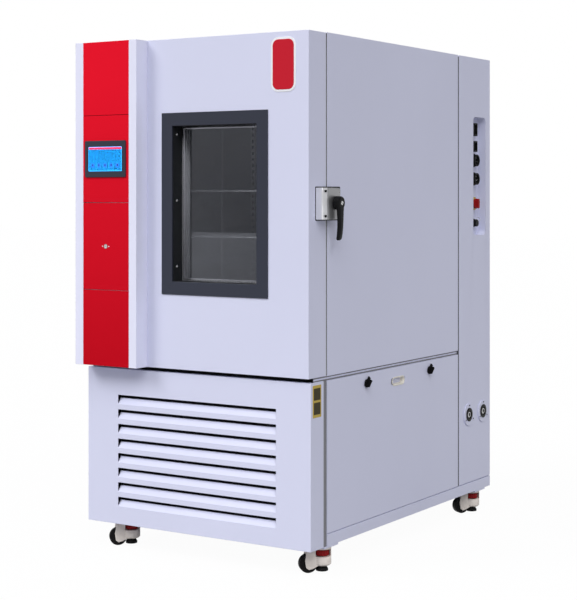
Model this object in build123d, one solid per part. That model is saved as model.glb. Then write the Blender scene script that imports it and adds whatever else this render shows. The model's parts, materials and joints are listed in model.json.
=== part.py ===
from build123d import *
import math
import os

# Environmental test chamber on levelling casters, in millimetres.
# Working frame: x to the right from the body's middle, y back from the front
# louvre panel, z up from the floor. save() moves everything to the part's own
# origin, the middle of the footprint on the floor.

# Body
body_width = 1000.0
body_bottom = 100.0
base_rail_height = 42.0
rail_width = 36.0
lip_height = 3.0
sheet = 2.0
tray_depth = 11.0
groove_depth = 6.0
lower_top = 685.0
deck_thickness = 15.0
corner_wrap = 86.0
bulkhead_thickness = 10.0
rear_compartment_depth = 296.0

# Louvres in the lower front panel
louvre_count = 8
louvre_length = 710.0
louvre_height = 35.0
louvre_pitch = 55.0
louvre_top = 587.0
louvre_recess = 24.0

# Door
door_front = -14.0
door_thickness = 116.0
door_top_step = 2.0
door_gap = 8.0
hinge_offset = 12.0
hinge_radius = 9.0
hinge_pin_radius = 5.0
hinge_height = 110.0
hinge_end_distance = 130.0
hinge_leaf = 3.0
hinge_leaf_reach = 44.0

# Window in the door
window_shift = -2.0
window_rise = 3.3
window_width = 372.0
window_height = 570.5
window_band = 48.0
window_proud = 4.0
window_wall = 12.0
reveal_depth = 57.0
pane_count = 4
pane_thickness = 5.0
pane_gap = 11.0
spacer_width = 9.0

# Control column on the door
column_inset = 3.0
column_width = 291.0
column_proud = 65.0
fascia_inset = 38.0
fascia_width = 217.5
fascia_thickness = 3.0
low_fascia_height = 284.0
fascia_height = 325.7
seam_gap = 1.6
screen_width = 194.0
screen_height = 136.0
screen_proud = 5.0
display_width = 158.0
display_height = 90.0
flap_pocket_depth = 46.0
flap_land = 9.0
flap_axis_inset = 2.0
flap_pin_radius = 0.9
flap_pin_length = 3.0
lock_radius = 6.0
lock_cam_length = 22.0

# Working space
chamber_width = 600.0
chamber_height = 850.0
chamber_depth = 928.0
usable_depth = 700.0
liner = 2.0
left_insulation = 98.0
right_insulation = 87.0
floor_insulation = 177.0
roof_insulation = 172.0
rear_insulation = 105.0
baffle_thickness = 2.0
upright_width = 22.0
upright_thickness = 3.0
upright_setback = 130.0
upright_end = 30.0
clip_reach = 14.0
clip_height = 8.0
upper_shelf_rise = 475.0
lower_shelf_rise = 301.0
shelf_depth = 590.0
shelf_rod = 6.0
shelf_wire = 4.0
shelf_wires = 15
gasket_width = 14.0
plug_depth = 18.0
plug_clearance = 6.0

# Fans, motors and machines
fan_radius = 120.0
fan_depth = 36.0
coil_end_gap = 60.0
coil_depth = 60.0
coil_rise = 90.0
coil_fan_gap = 60.0
heater_count = 3
heater_drop = 130.0
heater_pitch = 24.0
heater_setback = 40.0
heater_radius = 5.0
fan_rise = 550.0
fan_setback = 60.0
fan_inlet_radius = 100.0
fan_hub_radius = 24.0
fan_blade_count = 12
fan_shaft_radius = 10.0
shaft_hole_clearance = 4.0
motor_radius = 62.0
motor_length = 150.0
motor_flange = 150.0
compressor_x = 250.0
compressor_setback = 590.0
compressor_foot = 220.0
compressor_radius = 95.0
compressor_height = 290.0
receiver_x = -120.0
receiver_setback = 650.0
receiver_radius = 45.0
receiver_height = 220.0
condenser_setback = 30.0
condenser_width = 560.0
condenser_height = 380.0
condenser_thickness = 60.0
condenser_fan_radius = 150.0
condenser_fan_depth = 36.0
condenser_fan_shaft = 6.0
shroud_depth = 50.0
condenser_motor_radius = 42.0
condenser_motor_length = 78.0

# Electrical bay on the left of the working space
plate_front_inset = 150.0
plate_rear_inset = 107.0
plate_bottom_rise = 99.0
plate_top_drop = 95.0
device_depth = 75.0
device_inset = 40.0
device_span = 700.0
device_gap = 14.0
device_rises = [850.0, 680.0, 500.0, 280.0]
device_heights = [90.0, 80.0, 110.0, 160.0]
device_counts = [6, 8, 5, 3]

# Rear compartment
pocket_inset = 134.5
pocket_width = 119.0
pocket_top_drop = 248.0
pocket_height = 495.5
pocket_depth = 36.0
pocket_corner = 20.0
pocket_flange = 12.0
narrow_sockets = [(444.5, 55.0), (373.5, 46.0)]
narrow_socket_width = 30.0
narrow_socket_depth = 20.0
narrow_socket_wall = 5.0
round_socket_rises = [314.5, 236.5]
round_socket_radius = 25.0
round_socket_bore = 19.0
round_socket_depth = 26.0
isolator_rise = 132.5
isolator_plate = 54.0
isolator_collar = 20.0
isolator_shaft = 5.0
cap_rise = 50.5
cap_radius = 15.0
dot_rise = 21.5
dot_radius = 5.0
port_insets = [86.0, 219.5]
port_rise = 282.6
port_radius = 27.5
port_bore = 17.0
port_proud = 5.0
port_screw_radius = 2.5
port_screw_circle = 38.5
vent_count = 7
vent_length = 440.0
vent_slot = 9.0
vent_pitch = 26.0
low_vent_rise = 278.0
high_vent_drop = 355.0

# Latch on the right side
latch_rise = 552.5
latch_height = 111.5
strike_inset = 37.0
strike_length = 35.0
strike_gap = 1.5
latch_proud = 30.0
latch_body_length = 30.0
latch_plate_length = 85.0
latch_plate_thickness = 4.0
lever_axis_inset = 8.0
lever_axis_rise = 58.0
lever_reach = 57.0
lever_hub_radius = 24.0
lever_hub_start = 31.0
lever_length = 131.5
lever_arm_thickness = 17.0
lever_arm_width = 26.0
lever_bend = 52.0
lever_tip_lean = 8.0
lever_spindle_radius = 7.0

# Side access panel
quarter_turn_insets = {"front_panel_latch": 276.5, "rear_panel_latch": 776.5}
quarter_turn_drop = 38.0
quarter_turn_radius = 15.0
quarter_turn_shaft = 5.0
pull_inset = 523.8
pull_drop = 54.0
pull_width = 120.0
pull_height = 32.0
pull_depth = 16.0

# Levelling casters: insets of the swivel axes and directions of the wheels
caster_right_inset = 40.0
caster_left_inset = 120.0
caster_front_right_y = 140.0
caster_front_left_y = 113.0
caster_rear_inset = 98.0
front_wheel_turn = 225.0
rear_wheel_turn = 235.0
wheel_radius = 33.0
wheel_width = 28.0
wheel_offset = 52.0
wheel_side_clearance = 1.5
tread_count = 4
tread_groove = 0.8
tread_depth = 5.0
tread_round = 0.6
shoulder_round = 3.0
cheek = 5.0
axle_radius = 4.0
caster_plate_side = 92.0
caster_plate_thickness = 7.0
housing_radius = 33.0
housing_floor = 25.0
housing_throat = 18.0
fork_low = 12.0
fork_rise = 4.0
fork_round = 4.0
fork_boss = 16.0
fork_overhang = 14.0
window_low = 57.5
window_high = 83.5
thumb_radius = 25.0
thumb_height = 20.0
thumb_clearance = 2.4
kingpin_gap = 4.6
kingpin_radius = 10.0
stem_radius = 7.0
stem_top = 80.0
pad_bottom = 5.0
pad_radius = 22.0
pad_top_radius = 17.0
pad_height = 15.0

# Clearances
running = 0.05
apart = 0.4
seam = 1.0

# Levels and widths that follow
half = body_width / 2
recessed = half - groove_depth
rail_top = body_bottom + base_rail_height
lip_top = rail_top + lip_height
deck_bottom = lower_top + seam
deck_top = deck_bottom + deck_thickness
door_bottom = deck_top + seam
chamber_centre = half - tray_depth - right_insulation - liner - chamber_width / 2
chamber_left = chamber_centre - chamber_width / 2
chamber_right = chamber_centre + chamber_width / 2
chamber_bottom = deck_top + floor_insulation + liner
chamber_top = chamber_bottom + chamber_height
body_top = chamber_top + liner + roof_insulation + tray_depth
door_top = body_top - door_top_step

# Depths that follow
door_rear = door_front + door_thickness
main_front = door_rear + door_gap
chamber_rear = main_front + liner + chamber_depth
main_rear = chamber_rear + liner + rear_insulation
rear_front = main_rear + bulkhead_thickness
body_depth = rear_front + rear_compartment_depth
column_front = door_front - column_proud
baffle_front = main_front + usable_depth
fan_y = baffle_front + fan_setback
condenser_front = main_front + condenser_setback
condenser_rear = condenser_front + condenser_thickness
condenser_fan_y = condenser_rear + 20.0
strike_front = door_rear - strike_inset - strike_length
latch_body_rear = main_front + latch_body_length
latch_plate_rear = main_front + latch_plate_length
lever_axis_y = main_front + lever_axis_inset
quarter_turn_positions = {name: main_front + inset for name, inset in quarter_turn_insets.items()}
pull_y = main_front + pull_inset
pocket_front = rear_front + pocket_inset
pocket_middle = pocket_front + pocket_width / 2
port_positions = [rear_front + inset for inset in port_insets]

# Door and column places that follow
hinge_x = -half - hinge_offset
hinge_y = door_rear + door_gap / 2
hinge_levels = [door_bottom + hinge_end_distance, (door_bottom + door_top) / 2, door_top - hinge_end_distance]
window_centre = chamber_centre + window_shift
window_level = (chamber_bottom + chamber_top) / 2 + window_rise
window_bottom = window_level - window_height / 2
window_top = window_level + window_height / 2
window_left = window_centre - window_width / 2
window_right = window_centre + window_width / 2
column_left = -half + column_inset
column_right = column_left + column_width
fascia_left = column_left + fascia_inset
fascia_right = fascia_left + fascia_width
fascia_middle = (fascia_left + fascia_right) / 2
fascia_seams = [door_bottom + low_fascia_height + index * fascia_height for index in range(3)]
screen_level = (fascia_seams[1] + fascia_seams[2]) / 2
lock_level = (fascia_seams[0] + fascia_seams[1]) / 2
flap_left = fascia_left + seam_gap / 2
flap_axis_x = flap_left + flap_axis_inset
flap_axis_y = column_front + (fascia_thickness - apart) / 2
flap_sweep = math.hypot(flap_axis_inset, (fascia_thickness - apart) / 2) + apart

# Other places that follow
shelf_levels = {"upper_shelf": chamber_bottom + upper_shelf_rise, "lower_shelf": chamber_bottom + lower_shelf_rise}
fan_level = chamber_bottom + fan_rise
condenser_fan_level = rail_top + condenser_height / 2
latch_bottom = door_bottom + latch_rise
lever_axis_z = latch_bottom + lever_axis_rise
lever_tip = lever_axis_z - lever_length
quarter_turn_level = lower_top - quarter_turn_drop
pull_z = lower_top - pull_drop
pocket_bottom = body_top - pocket_top_drop - pocket_height
isolator_level = pocket_bottom + isolator_rise
port_level = lip_top + port_rise
caster_top = body_bottom - caster_plate_thickness - apart
caster_right_x = half - caster_right_inset
caster_left_x = -half + caster_left_inset
caster_rear_y = body_depth - caster_rear_inset
caster_places = {
    "front_right": (caster_right_x, caster_front_right_y, front_wheel_turn),
    "front_left": (caster_left_x, caster_front_left_y, front_wheel_turn),
    "rear_right": (caster_right_x, caster_rear_y, rear_wheel_turn),
    "rear_left": (caster_left_x, caster_rear_y, rear_wheel_turn),
}
origin_x = (lever_reach - hinge_offset - hinge_radius) / 2
origin_y = (body_depth + column_front - screen_proud) / 2


def save(node, *solids):
    """Write one node, moved to the part's own origin."""
    placed = [solid.moved(Location((-origin_x, -origin_y, 0))) for solid in solids]
    shape = placed[0] if len(placed) == 1 else Compound(children=placed)
    export_step(shape, f"parts/{node}.step")


def block(x0, x1, y0, y1, z0, z1):
    """A box between two corners."""
    middle = ((x0 + x1) / 2, (y0 + y1) / 2, (z0 + z1) / 2)
    return Pos(*middle) * Box(x1 - x0, y1 - y0, z1 - z0)


def rod_x(x0, x1, y, z, radius):
    """A cylinder along x."""
    return Pos((x0 + x1) / 2, y, z) * Rot(0, 90, 0) * Cylinder(radius, x1 - x0)


def rod_y(y0, y1, x, z, radius):
    """A cylinder along y."""
    return Pos(x, (y0 + y1) / 2, z) * Rot(90, 0, 0) * Cylinder(radius, y1 - y0)


def rod_z(z0, z1, x, y, radius):
    """A cylinder along z."""
    return Pos(x, y, (z0 + z1) / 2) * Cylinder(radius, z1 - z0)


def side_tray(outer, y0, y1, z0, z1):
    """A folded side panel, open towards the body; outer is the x of its face."""
    sign = 1 if outer > 0 else -1
    inner = outer - sign * tray_depth
    skin = outer - sign * sheet
    shell = block(min(outer, inner), max(outer, inner), y0, y1, z0, z1)
    hollow = block(min(skin, inner - sign), max(skin, inner - sign),
                   y0 + sheet, y1 - sheet, z0 + sheet, z1 - sheet)
    return shell - hollow


def base_frame():
    """Welded rails, floor pan, front posts and the fixed caster plates."""
    frame = []
    rail_rear = body_depth
    for side in (-1, 1):
        rail = block(min(side * half, side * (half - rail_width)),
                     max(side * half, side * (half - rail_width)),
                     main_front, rail_rear, body_bottom, rail_top)
        rail += block(min(side * recessed, side * (half - rail_width)),
                      max(side * recessed, side * (half - rail_width)),
                      corner_wrap, main_front, body_bottom, rail_top)
        lip = block(min(side * recessed, side * (half - rail_width)),
                    max(side * recessed, side * (half - rail_width)),
                    main_front, rail_rear - groove_depth, rail_top, lip_top)
        post = block(min(side * recessed, side * (half - rail_width)),
                     max(side * recessed, side * (half - rail_width)),
                     corner_wrap, main_front, rail_top, deck_bottom)
        frame.append(rail + lip)
        frame.append(post)
    inner = half - rail_width
    frame.append(block(-inner, inner, corner_wrap, main_front + rail_width, body_bottom, rail_top))
    bolster = caster_places["rear_left"][1] - caster_plate_side / 2
    frame.append(block(-inner, inner, bolster, rail_rear, body_bottom, rail_top))
    frame.append(block(-inner, inner, main_front + rail_width, bolster, rail_top - sheet * 2, rail_top))
    for x, y, turn in caster_places.values():
        plate = block(x - caster_plate_side / 2, x + caster_plate_side / 2,
                      y - caster_plate_side / 2, y + caster_plate_side / 2,
                      body_bottom - caster_plate_thickness, body_bottom)
        plate = plate & block(-half, half, 0, body_depth, 0, body_bottom)
        stub = rod_z(stem_top + kingpin_gap, body_bottom - caster_plate_thickness / 2, x, y, kingpin_radius)
        frame.append(plate + stub)
    return frame


def front_louvre_panel():
    """Lower front panel with pressed louvres and folded sides."""
    top = deck_bottom
    outer = block(-half, half, 0, corner_wrap, body_bottom, top)
    inner = block(-half + sheet, half - sheet, sheet, corner_wrap + 1, body_bottom + sheet, top - sheet)
    panel = outer - inner
    for row in range(louvre_count):
        high = louvre_top - row * louvre_pitch
        low = high - louvre_height
        panel -= block(-louvre_length / 2, louvre_length / 2, -1, sheet + 1, low, high)
        rear = louvre_recess + sheet
        corners = [(0, low - sheet), (1.5 * sheet, low - sheet), (rear, high - sheet / 2),
                   (rear, high + sheet), (sheet, high + sheet), (sheet, high),
                   (louvre_recess, high), (0, low)]
        blade = make_face(Polyline(*[(0, y, z) for y, z in corners], close=True))
        panel += Pos(-louvre_length / 2, 0, 0) * extrude(blade, louvre_length, dir=(1, 0, 0))
    return panel


def body_panels():
    """Folded panels that close the main body and the rear compartment."""
    top_tray = block(-half + sheet, half - sheet, main_front, main_rear,
                     body_top - tray_depth, body_top)
    top_tray -= block(-half + 2 * sheet, half - 2 * sheet, main_front + sheet, main_rear - sheet,
                      body_top - tray_depth - 1, body_top - sheet)
    save("top_panel", top_tray)
    side_top = body_top - tray_depth - seam
    save("right_side_panel", upper_side(half, side_top))
    save("left_side_panel", upper_side(-half, side_top))
    save("left_lower_panel", side_tray(-half, main_front, main_rear, lip_top, lower_top))
    save("rear_left_panel", side_tray(-half, rear_front, body_depth - tray_depth, lip_top, body_top))
    right = side_tray(half, rear_front, body_depth - tray_depth, lip_top, body_top)
    right -= pocket_prism(half - 2 * sheet, half + 1, 0)
    for y in port_positions:
        right -= rod_x(half - 2 * sheet, half + 1, y, port_level, port_radius)
    save("rear_right_panel", right)
    save("rear_back_panel", *rear_back_panel())


def upper_side(outer, top):
    """Upper side panel, with its fold up to the roof edge."""
    sign = 1 if outer > 0 else -1
    tray = side_tray(outer, main_front, main_rear, deck_top, top)
    skin = outer - sign * sheet
    strip = block(min(outer, skin), max(outer, skin), main_front, main_rear, top - 1, body_top)
    return tray + strip


def rear_back_panel():
    """Back cover with vent slots, and the roof of the rear compartment."""
    inside = body_depth - tray_depth
    back = block(-half, half, inside, body_depth, rail_top + lip_height, body_top)
    back -= block(-half + sheet, half - sheet, inside - 1, body_depth - sheet,
                  rail_top + lip_height + sheet, body_top - sheet)
    for level in (rail_top + low_vent_rise, body_top - high_vent_drop):
        for row in range(vent_count):
            z = level + row * vent_pitch
            back -= block(-vent_length / 2, vent_length / 2, body_depth - 2 * sheet, body_depth + 1,
                          z, z + vent_slot)
    roof = block(-half + tray_depth, half - tray_depth, rear_front, inside, body_top - sheet, body_top)
    return back, roof


def pocket_prism(x0, x1, grow):
    """The rounded outline of the socket pocket, between two x planes."""
    middle = ((x0 + x1) / 2, pocket_middle, pocket_bottom + pocket_height / 2)
    prism = Box(x1 - x0, pocket_width + 2 * grow, pocket_height + 2 * grow)
    prism = fillet(prism.edges().filter_by(Axis.X), pocket_corner + grow)
    return Pos(*middle) * prism


def pocket_tray():
    """Recessed tray behind the opening in the rear side panel."""
    floor = half - sheet - pocket_depth
    outer = pocket_prism(floor, half - sheet, sheet)
    inner = pocket_prism(floor + sheet, half, 0)
    flange = block(half - 2 * sheet, half - sheet,
                   pocket_front - pocket_flange, pocket_front + pocket_width + pocket_flange,
                   pocket_bottom - pocket_flange, pocket_bottom + pocket_height + pocket_flange)
    return outer + flange - inner


def pocket_devices():
    """Sockets, isolator plate, capped connector and signal dot in the pocket."""
    floor = half - pocket_depth
    y = pocket_middle
    pieces = []
    for rise, height in narrow_sockets:
        z = pocket_bottom + rise
        side = narrow_socket_width / 2
        shell = block(floor, floor + narrow_socket_depth, y - side, y + side, z - height / 2, z + height / 2)
        shell = fillet(shell.edges().filter_by(Axis.X), narrow_socket_wall)
        shell -= block(floor + 8, floor + narrow_socket_depth + 1, y - side + narrow_socket_wall,
                       y + side - narrow_socket_wall, z - height / 2 + 7, z + height / 2 - 7)
        pieces.append(shell)
    for rise in round_socket_rises:
        z = pocket_bottom + rise
        ring = rod_x(floor, floor + 12, y, z, round_socket_radius + 3)
        ring += rod_x(floor + 11, floor + round_socket_depth, y, z, round_socket_radius)
        ring -= rod_x(floor + 9, floor + round_socket_depth + 1, y, z, round_socket_bore)
        pieces.append(ring)
    side = isolator_plate / 2
    plate = block(floor, floor + 6, y - side, y + side, isolator_level - side, isolator_level + side)
    plate = fillet(plate.edges().filter_by(Axis.X), 6)
    collar = rod_x(floor + 5, floor + 14, y, isolator_level, isolator_collar)
    bore = rod_x(floor + 2, floor + 15, y, isolator_level, isolator_shaft + running)
    pieces.append(plate + collar - bore)
    level = pocket_bottom + cap_rise
    pieces.append(rod_x(floor, floor + 10, y, level, cap_radius + 3) + rod_x(floor + 9, floor + 26, y, level, cap_radius))
    pieces.append(rod_x(floor, floor + 3, y, pocket_bottom + dot_rise, dot_radius))
    return pieces


def water_port(port):
    """One round water port with the bosses of its three screws."""
    body = rod_x(half - 40, half + port_proud, port, port_level, port_radius - apart)
    lip = rod_x(half, half + port_proud - 1, port, port_level, port_radius + 18)
    body = body + lip - rod_x(half - 30, half + port_proud + 1, port, port_level, port_bore)
    for spoke in (90, 210, 330):
        y = port + port_screw_circle * math.cos(math.radians(spoke))
        z = port_level + port_screw_circle * math.sin(math.radians(spoke))
        body += rod_x(half + 1, half + port_proud + 1, y, z, port_screw_radius + 1.5)
    return body


def isolator_handle():
    """Red rotary handle with its shaft."""
    floor = half - pocket_depth
    y = pocket_middle
    disc = rod_x(floor + 14 + apart, floor + 22, y, isolator_level, isolator_collar + 1)
    grip = block(floor + 21, floor + 35, y - 6.5, y + 6.5, isolator_level - 20, isolator_level + 20)
    grip = fillet(grip.edges().filter_by(Axis.X), 5)
    shaft = rod_x(floor + 3, floor + 15, y, isolator_level, isolator_shaft)
    return disc + grip + shaft


def inner_liner():
    """Stainless working space, open to the front, with its sealing frame."""
    front = main_front
    rear = chamber_rear
    box = block(chamber_left - liner, chamber_right + liner, front, rear + liner,
                chamber_bottom - liner, chamber_top + liner)
    flange = block(-half + tray_depth, half - tray_depth, front, front + liner, deck_top,
                   body_top - tray_depth)
    space = block(chamber_left, chamber_right, front - 1, rear, chamber_bottom, chamber_top)
    hole = rod_y(rear - 1, rear + liner + 1, chamber_centre, fan_level,
                 fan_shaft_radius + shaft_hole_clearance)
    return box + flange - space - hole


def insulation():
    """Five foam slabs round the working space."""
    front = main_front + liner
    rear = chamber_rear + liner
    left = chamber_left - liner
    right = chamber_right + liner
    low = chamber_bottom - liner
    high = chamber_top + liner
    outer_left = left - left_insulation
    outer_right = half - tray_depth
    roof = body_top - tray_depth
    hole = rod_y(rear - 1, main_rear + 1, chamber_centre, fan_level,
                 fan_shaft_radius + shaft_hole_clearance)
    return [
        block(outer_left, left, front, rear, low, high),
        block(right, outer_right, front, rear, low, high),
        block(outer_left, outer_right, front, rear, high, roof),
        block(outer_left, outer_right, front, rear, deck_top, low),
        block(outer_left, outer_right, rear, main_rear, deck_top, roof) - hole,
    ]


def shelf_uprights():
    """Four slotted strips that carry the shelves."""
    strips = []
    for wall, sign in ((chamber_left, 1), (chamber_right, -1)):
        for y in (main_front + upright_setback, baffle_front - upright_setback):
            strip = block(min(wall, wall + sign * upright_thickness), max(wall, wall + sign * upright_thickness),
                          y - upright_width / 2, y + upright_width / 2,
                          chamber_bottom + upright_end, chamber_top - upright_end)
            for level in shelf_levels.values():
                low = level - shelf_rod / 2 - apart
                inner = wall + sign * (upright_thickness + clip_reach)
                strip += block(min(wall, inner), max(wall, inner), y - 5, y + 5, low - clip_height, low)
            strips.append(strip)
    return strips


def shelf(level):
    """Wire shelf resting on the upright clips."""
    side = upright_thickness + apart
    left = chamber_left + side
    right = chamber_right - side
    rear = baffle_front - apart * 10
    front = rear - shelf_depth
    y0 = front + shelf_rod / 2
    y1 = rear - shelf_rod / 2
    grid = rod_x(left, right, y0, level, shelf_rod / 2)
    for y in ((y0 + y1) / 2, y1):
        grid += rod_x(left, right, y, level, shelf_rod / 2)
    for x in (left + shelf_rod, right - shelf_rod):
        grid += rod_y(y0, y1, x, level, shelf_rod / 2 - 0.5)
    for index in range(1, shelf_wires + 1):
        x = left + (right - left) * index / (shelf_wires + 1)
        grid += rod_y(y0 - 1, y1 + 1, x, level + shelf_rod / 2, shelf_wire / 2)
    return grid


def air_baffle():
    """Plenum wall with the fan inlet and air slots."""
    wall = block(chamber_left, chamber_right, baffle_front, baffle_front + baffle_thickness,
                 chamber_bottom, chamber_top)
    wall -= rod_y(baffle_front - 1, baffle_front + baffle_thickness + 1, chamber_centre, fan_level,
                  fan_inlet_radius)
    for low in (chamber_top - 60, chamber_bottom + 30):
        wall -= block(chamber_left + 50, chamber_right - 50, baffle_front - 1,
                      baffle_front + baffle_thickness + 1, low, low + 30)
    return wall


def air_coils():
    """Cooling coil with fins and the heater loops, behind the baffle."""
    y0 = baffle_front + baffle_thickness
    coil = block(chamber_left + coil_end_gap, chamber_right - coil_end_gap, y0, y0 + coil_depth,
                 chamber_bottom + coil_rise, fan_level - fan_radius - coil_fan_gap)
    pieces = [coil]
    for row in range(heater_count):
        z = chamber_top - heater_drop + row * heater_pitch
        pieces.append(rod_x(chamber_left, chamber_right, y0 + heater_setback, z, heater_radius))
    return pieces


def circulation_fan():
    """Radial blades on a long shaft through the rear wall."""
    hub = rod_y(fan_y, fan_y + fan_depth, chamber_centre, fan_level, fan_hub_radius)
    disc = rod_y(fan_y + fan_depth - 3, fan_y + fan_depth, chamber_centre, fan_level, fan_radius)
    wheel = hub + disc
    blade_length = fan_radius - fan_hub_radius - 32
    for index in range(fan_blade_count):
        blade = Pos(fan_radius - 2 - blade_length / 2, 0, 0) * Rot(0, 0, 25) * Box(blade_length, 3, fan_depth - 1)
        blade = Rot(0, 0, index * 360 / fan_blade_count) * blade
        blade = Pos(chamber_centre, fan_y + fan_depth / 2, fan_level) * Rot(90, 0, 0) * blade
        wheel += blade
    shaft = rod_y(fan_y, rear_front + motor_length / 2, chamber_centre, fan_level, fan_shaft_radius)
    return wheel + shaft


def fan_motor():
    """Motor on the rear bulkhead."""
    y0 = rear_front
    body = rod_y(y0 + 10, y0 + motor_length, chamber_centre, fan_level, motor_radius)
    side = motor_flange / 2
    flange = block(chamber_centre - side, chamber_centre + side, y0, y0 + 12, fan_level - side, fan_level + side)
    bore = rod_y(y0 - 1, y0 + motor_length / 2 + 5, chamber_centre, fan_level, fan_shaft_radius + running)
    return body + flange - bore


def rear_bulkhead():
    """Partition between the insulated body and the rear compartment."""
    wall = block(-recessed, recessed, main_rear, rear_front, lip_top, body_top - groove_depth)
    wall -= rod_y(main_rear - 1, rear_front + 1, chamber_centre, fan_level,
                  fan_shaft_radius + shaft_hole_clearance)
    return wall


def compressor():
    """Hermetic compressor on its foot plate, and the liquid receiver."""
    x = compressor_x
    y = main_front + compressor_setback
    side = compressor_foot / 2
    feet = block(x - side, x + side, y - side, y + side, rail_top, rail_top + 12)
    shell = rod_z(rail_top + 12, rail_top + compressor_height, x, y, compressor_radius)
    shell = fillet(shell.edges().filter_by(GeomType.CIRCLE), 30)
    receiver = rod_z(rail_top, rail_top + receiver_height, receiver_x, main_front + receiver_setback, receiver_radius)
    return [feet, shell, receiver]


def condenser():
    """Condenser block, fan shroud, and the fan motor on its stand."""
    side = condenser_width / 2
    low = rail_top
    high = rail_top + condenser_height
    coil = block(-side, side, condenser_front, condenser_rear, low, high)
    shroud_rear = condenser_rear + shroud_depth
    shroud = block(-side, side, condenser_rear, shroud_rear, low, high)
    shroud -= block(-side + sheet, side - sheet, condenser_rear - 1, shroud_rear - sheet, low + sheet, high - sheet)
    shroud -= rod_y(shroud_rear - 10, shroud_rear + 10, 0, condenser_fan_level, condenser_fan_radius + 8)
    start = shroud_rear + 12
    rear = start + condenser_motor_length
    stand = block(-30, 30, start, rear, low, condenser_fan_level)
    motor = rod_y(start, rear, 0, condenser_fan_level, condenser_motor_radius)
    bore = rod_y(start - 1, start + 38, 0, condenser_fan_level, condenser_fan_shaft + running)
    return [coil, shroud, stand + motor - bore]


def condenser_fan():
    """Five-blade axial fan in the shroud."""
    y0 = condenser_fan_y
    z = condenser_fan_level
    fan = rod_y(y0, y0 + condenser_fan_depth, 0, z, 32)
    fan += rod_y(y0 + condenser_fan_depth - 6, condenser_rear + shroud_depth + 48, 0, z, condenser_fan_shaft)
    for index in range(5):
        blade = Pos(condenser_fan_radius / 2 + 8, 0, 0) * Rot(28, 0, 0) * Box(condenser_fan_radius - 24, 60, 3)
        blade = Rot(0, 0, index * 72) * blade
        fan += Pos(0, y0 + condenser_fan_depth / 2, z) * Rot(90, 0, 0) * blade
    return fan


def control_plate():
    """Back plate of the electrical bay with its devices."""
    face = chamber_left - liner - left_insulation
    front = main_front + plate_front_inset
    bottom = deck_top + plate_bottom_rise
    thickness = 3.0
    pieces = [block(face - thickness, face, front, main_rear - plate_rear_inset, bottom, body_top - plate_top_drop)]
    for rise, count, height in zip(device_rises, device_counts, device_heights):
        pitch = device_span / count
        for index in range(count):
            y = front + device_inset + index * pitch
            pieces.append(block(face - thickness - device_depth, face - thickness, y, y + pitch - device_gap,
                                bottom + rise, bottom + rise + height))
    return pieces


def door_shell():
    """Outer skin of the door, folded round its edges, with the window cut."""
    shell = block(-half, half, door_front, door_rear - liner, door_bottom, door_top)
    shell -= block(-half + sheet, half - sheet, door_front + sheet, door_rear + 1,
                   door_bottom + sheet, door_top - sheet)
    return shell - window_prism(door_front - 1, door_front + sheet + 1, window_wall)


def window_prism(y0, y1, grow):
    """The window's rectangle between two y planes."""
    return block(window_left - grow, window_right + grow, y0, y1, window_bottom - grow, window_top + grow)


def door_core():
    """Foam that fills the door."""
    foam = block(-half + sheet, half - sheet, door_front + sheet, door_rear - liner,
                 door_bottom + sheet, door_top - sheet)
    return foam - window_prism(door_front, door_rear + 1, window_wall)


def door_liner():
    """Stainless inner face of the door with the plug that enters the opening."""
    face = block(-half, half, door_rear - liner, door_rear, door_bottom, door_top)
    left = chamber_left + plug_clearance
    right = chamber_right - plug_clearance
    low = chamber_bottom + plug_clearance
    high = chamber_top - plug_clearance
    plug = block(left, right, door_rear - 1, door_rear + plug_depth, low, high)
    plug -= window_prism(door_rear - 3, door_rear + plug_depth + 1, window_wall)
    return face + plug - window_prism(door_rear - liner - 1, door_rear + plug_depth + 1, window_wall)


def door_gasket():
    """Seal between the door and the sealing frame."""
    grow = 8.0
    outer = grow + gasket_width
    rear = main_front - apart
    ring = block(chamber_left - outer, chamber_right + outer, door_rear, rear,
                 chamber_bottom - outer, chamber_top + outer)
    ring -= block(chamber_left - grow, chamber_right + grow, door_rear - 1, rear + 1,
                  chamber_bottom - grow, chamber_top + grow)
    return ring


def window_frame():
    """Moulded frame: a flat band on the door and a deep reveal."""
    band = window_prism(door_front - window_proud, door_front, window_band)
    tunnel = window_prism(door_front, door_front + reveal_depth, window_wall)
    return band + tunnel - window_prism(door_front - window_proud - 1, door_front + reveal_depth + 1, 0)


def window_glass():
    """Panes and the hollow spacer frames between them."""
    pieces = []
    start = door_front + reveal_depth
    for index in range(pane_count):
        y0 = start + index * (pane_thickness + pane_gap)
        pieces.append(window_prism(y0, y0 + pane_thickness, window_wall - seam / 2))
        if index < pane_count - 1:
            y1 = y0 + pane_thickness
            ring = window_prism(y1, y1 + pane_gap, window_wall - seam / 2)
            ring -= window_prism(y1 - 1, y1 + pane_gap + 1, window_wall - seam / 2 - spacer_width - 8)
            pieces.append(ring)
    return pieces


def column_housing():
    """White control column with its fascia recess and flap pocket."""
    housing = block(column_left, column_right, column_front, door_front, door_bottom, door_top)
    housing -= block(fascia_left, fascia_right, column_front - 1, column_front + fascia_thickness,
                     door_bottom - 1, door_top + 1)
    low = fascia_seams[0] + flap_land
    high = fascia_seams[1] - flap_land
    housing -= block(fascia_left, fascia_right - flap_land, column_front, column_front + flap_pocket_depth,
                     low, high)
    housing -= block(fascia_left, flap_axis_x + flap_sweep, column_front, flap_axis_y + flap_sweep,
                     fascia_seams[0], fascia_seams[1])
    return housing


def fascia_panels():
    """The three fixed red panels."""
    levels = [door_bottom, fascia_seams[0], fascia_seams[1], fascia_seams[2], door_top]
    pieces = []
    holes = flap_pins(flap_pin_radius + running, flap_pin_length + 1)
    for index in (0, 2, 3):
        pieces.append(block(fascia_left, fascia_right, column_front, column_front + fascia_thickness,
                            levels[index] + seam_gap / 2, levels[index + 1] - seam_gap / 2) - holes)
    return pieces


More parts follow.
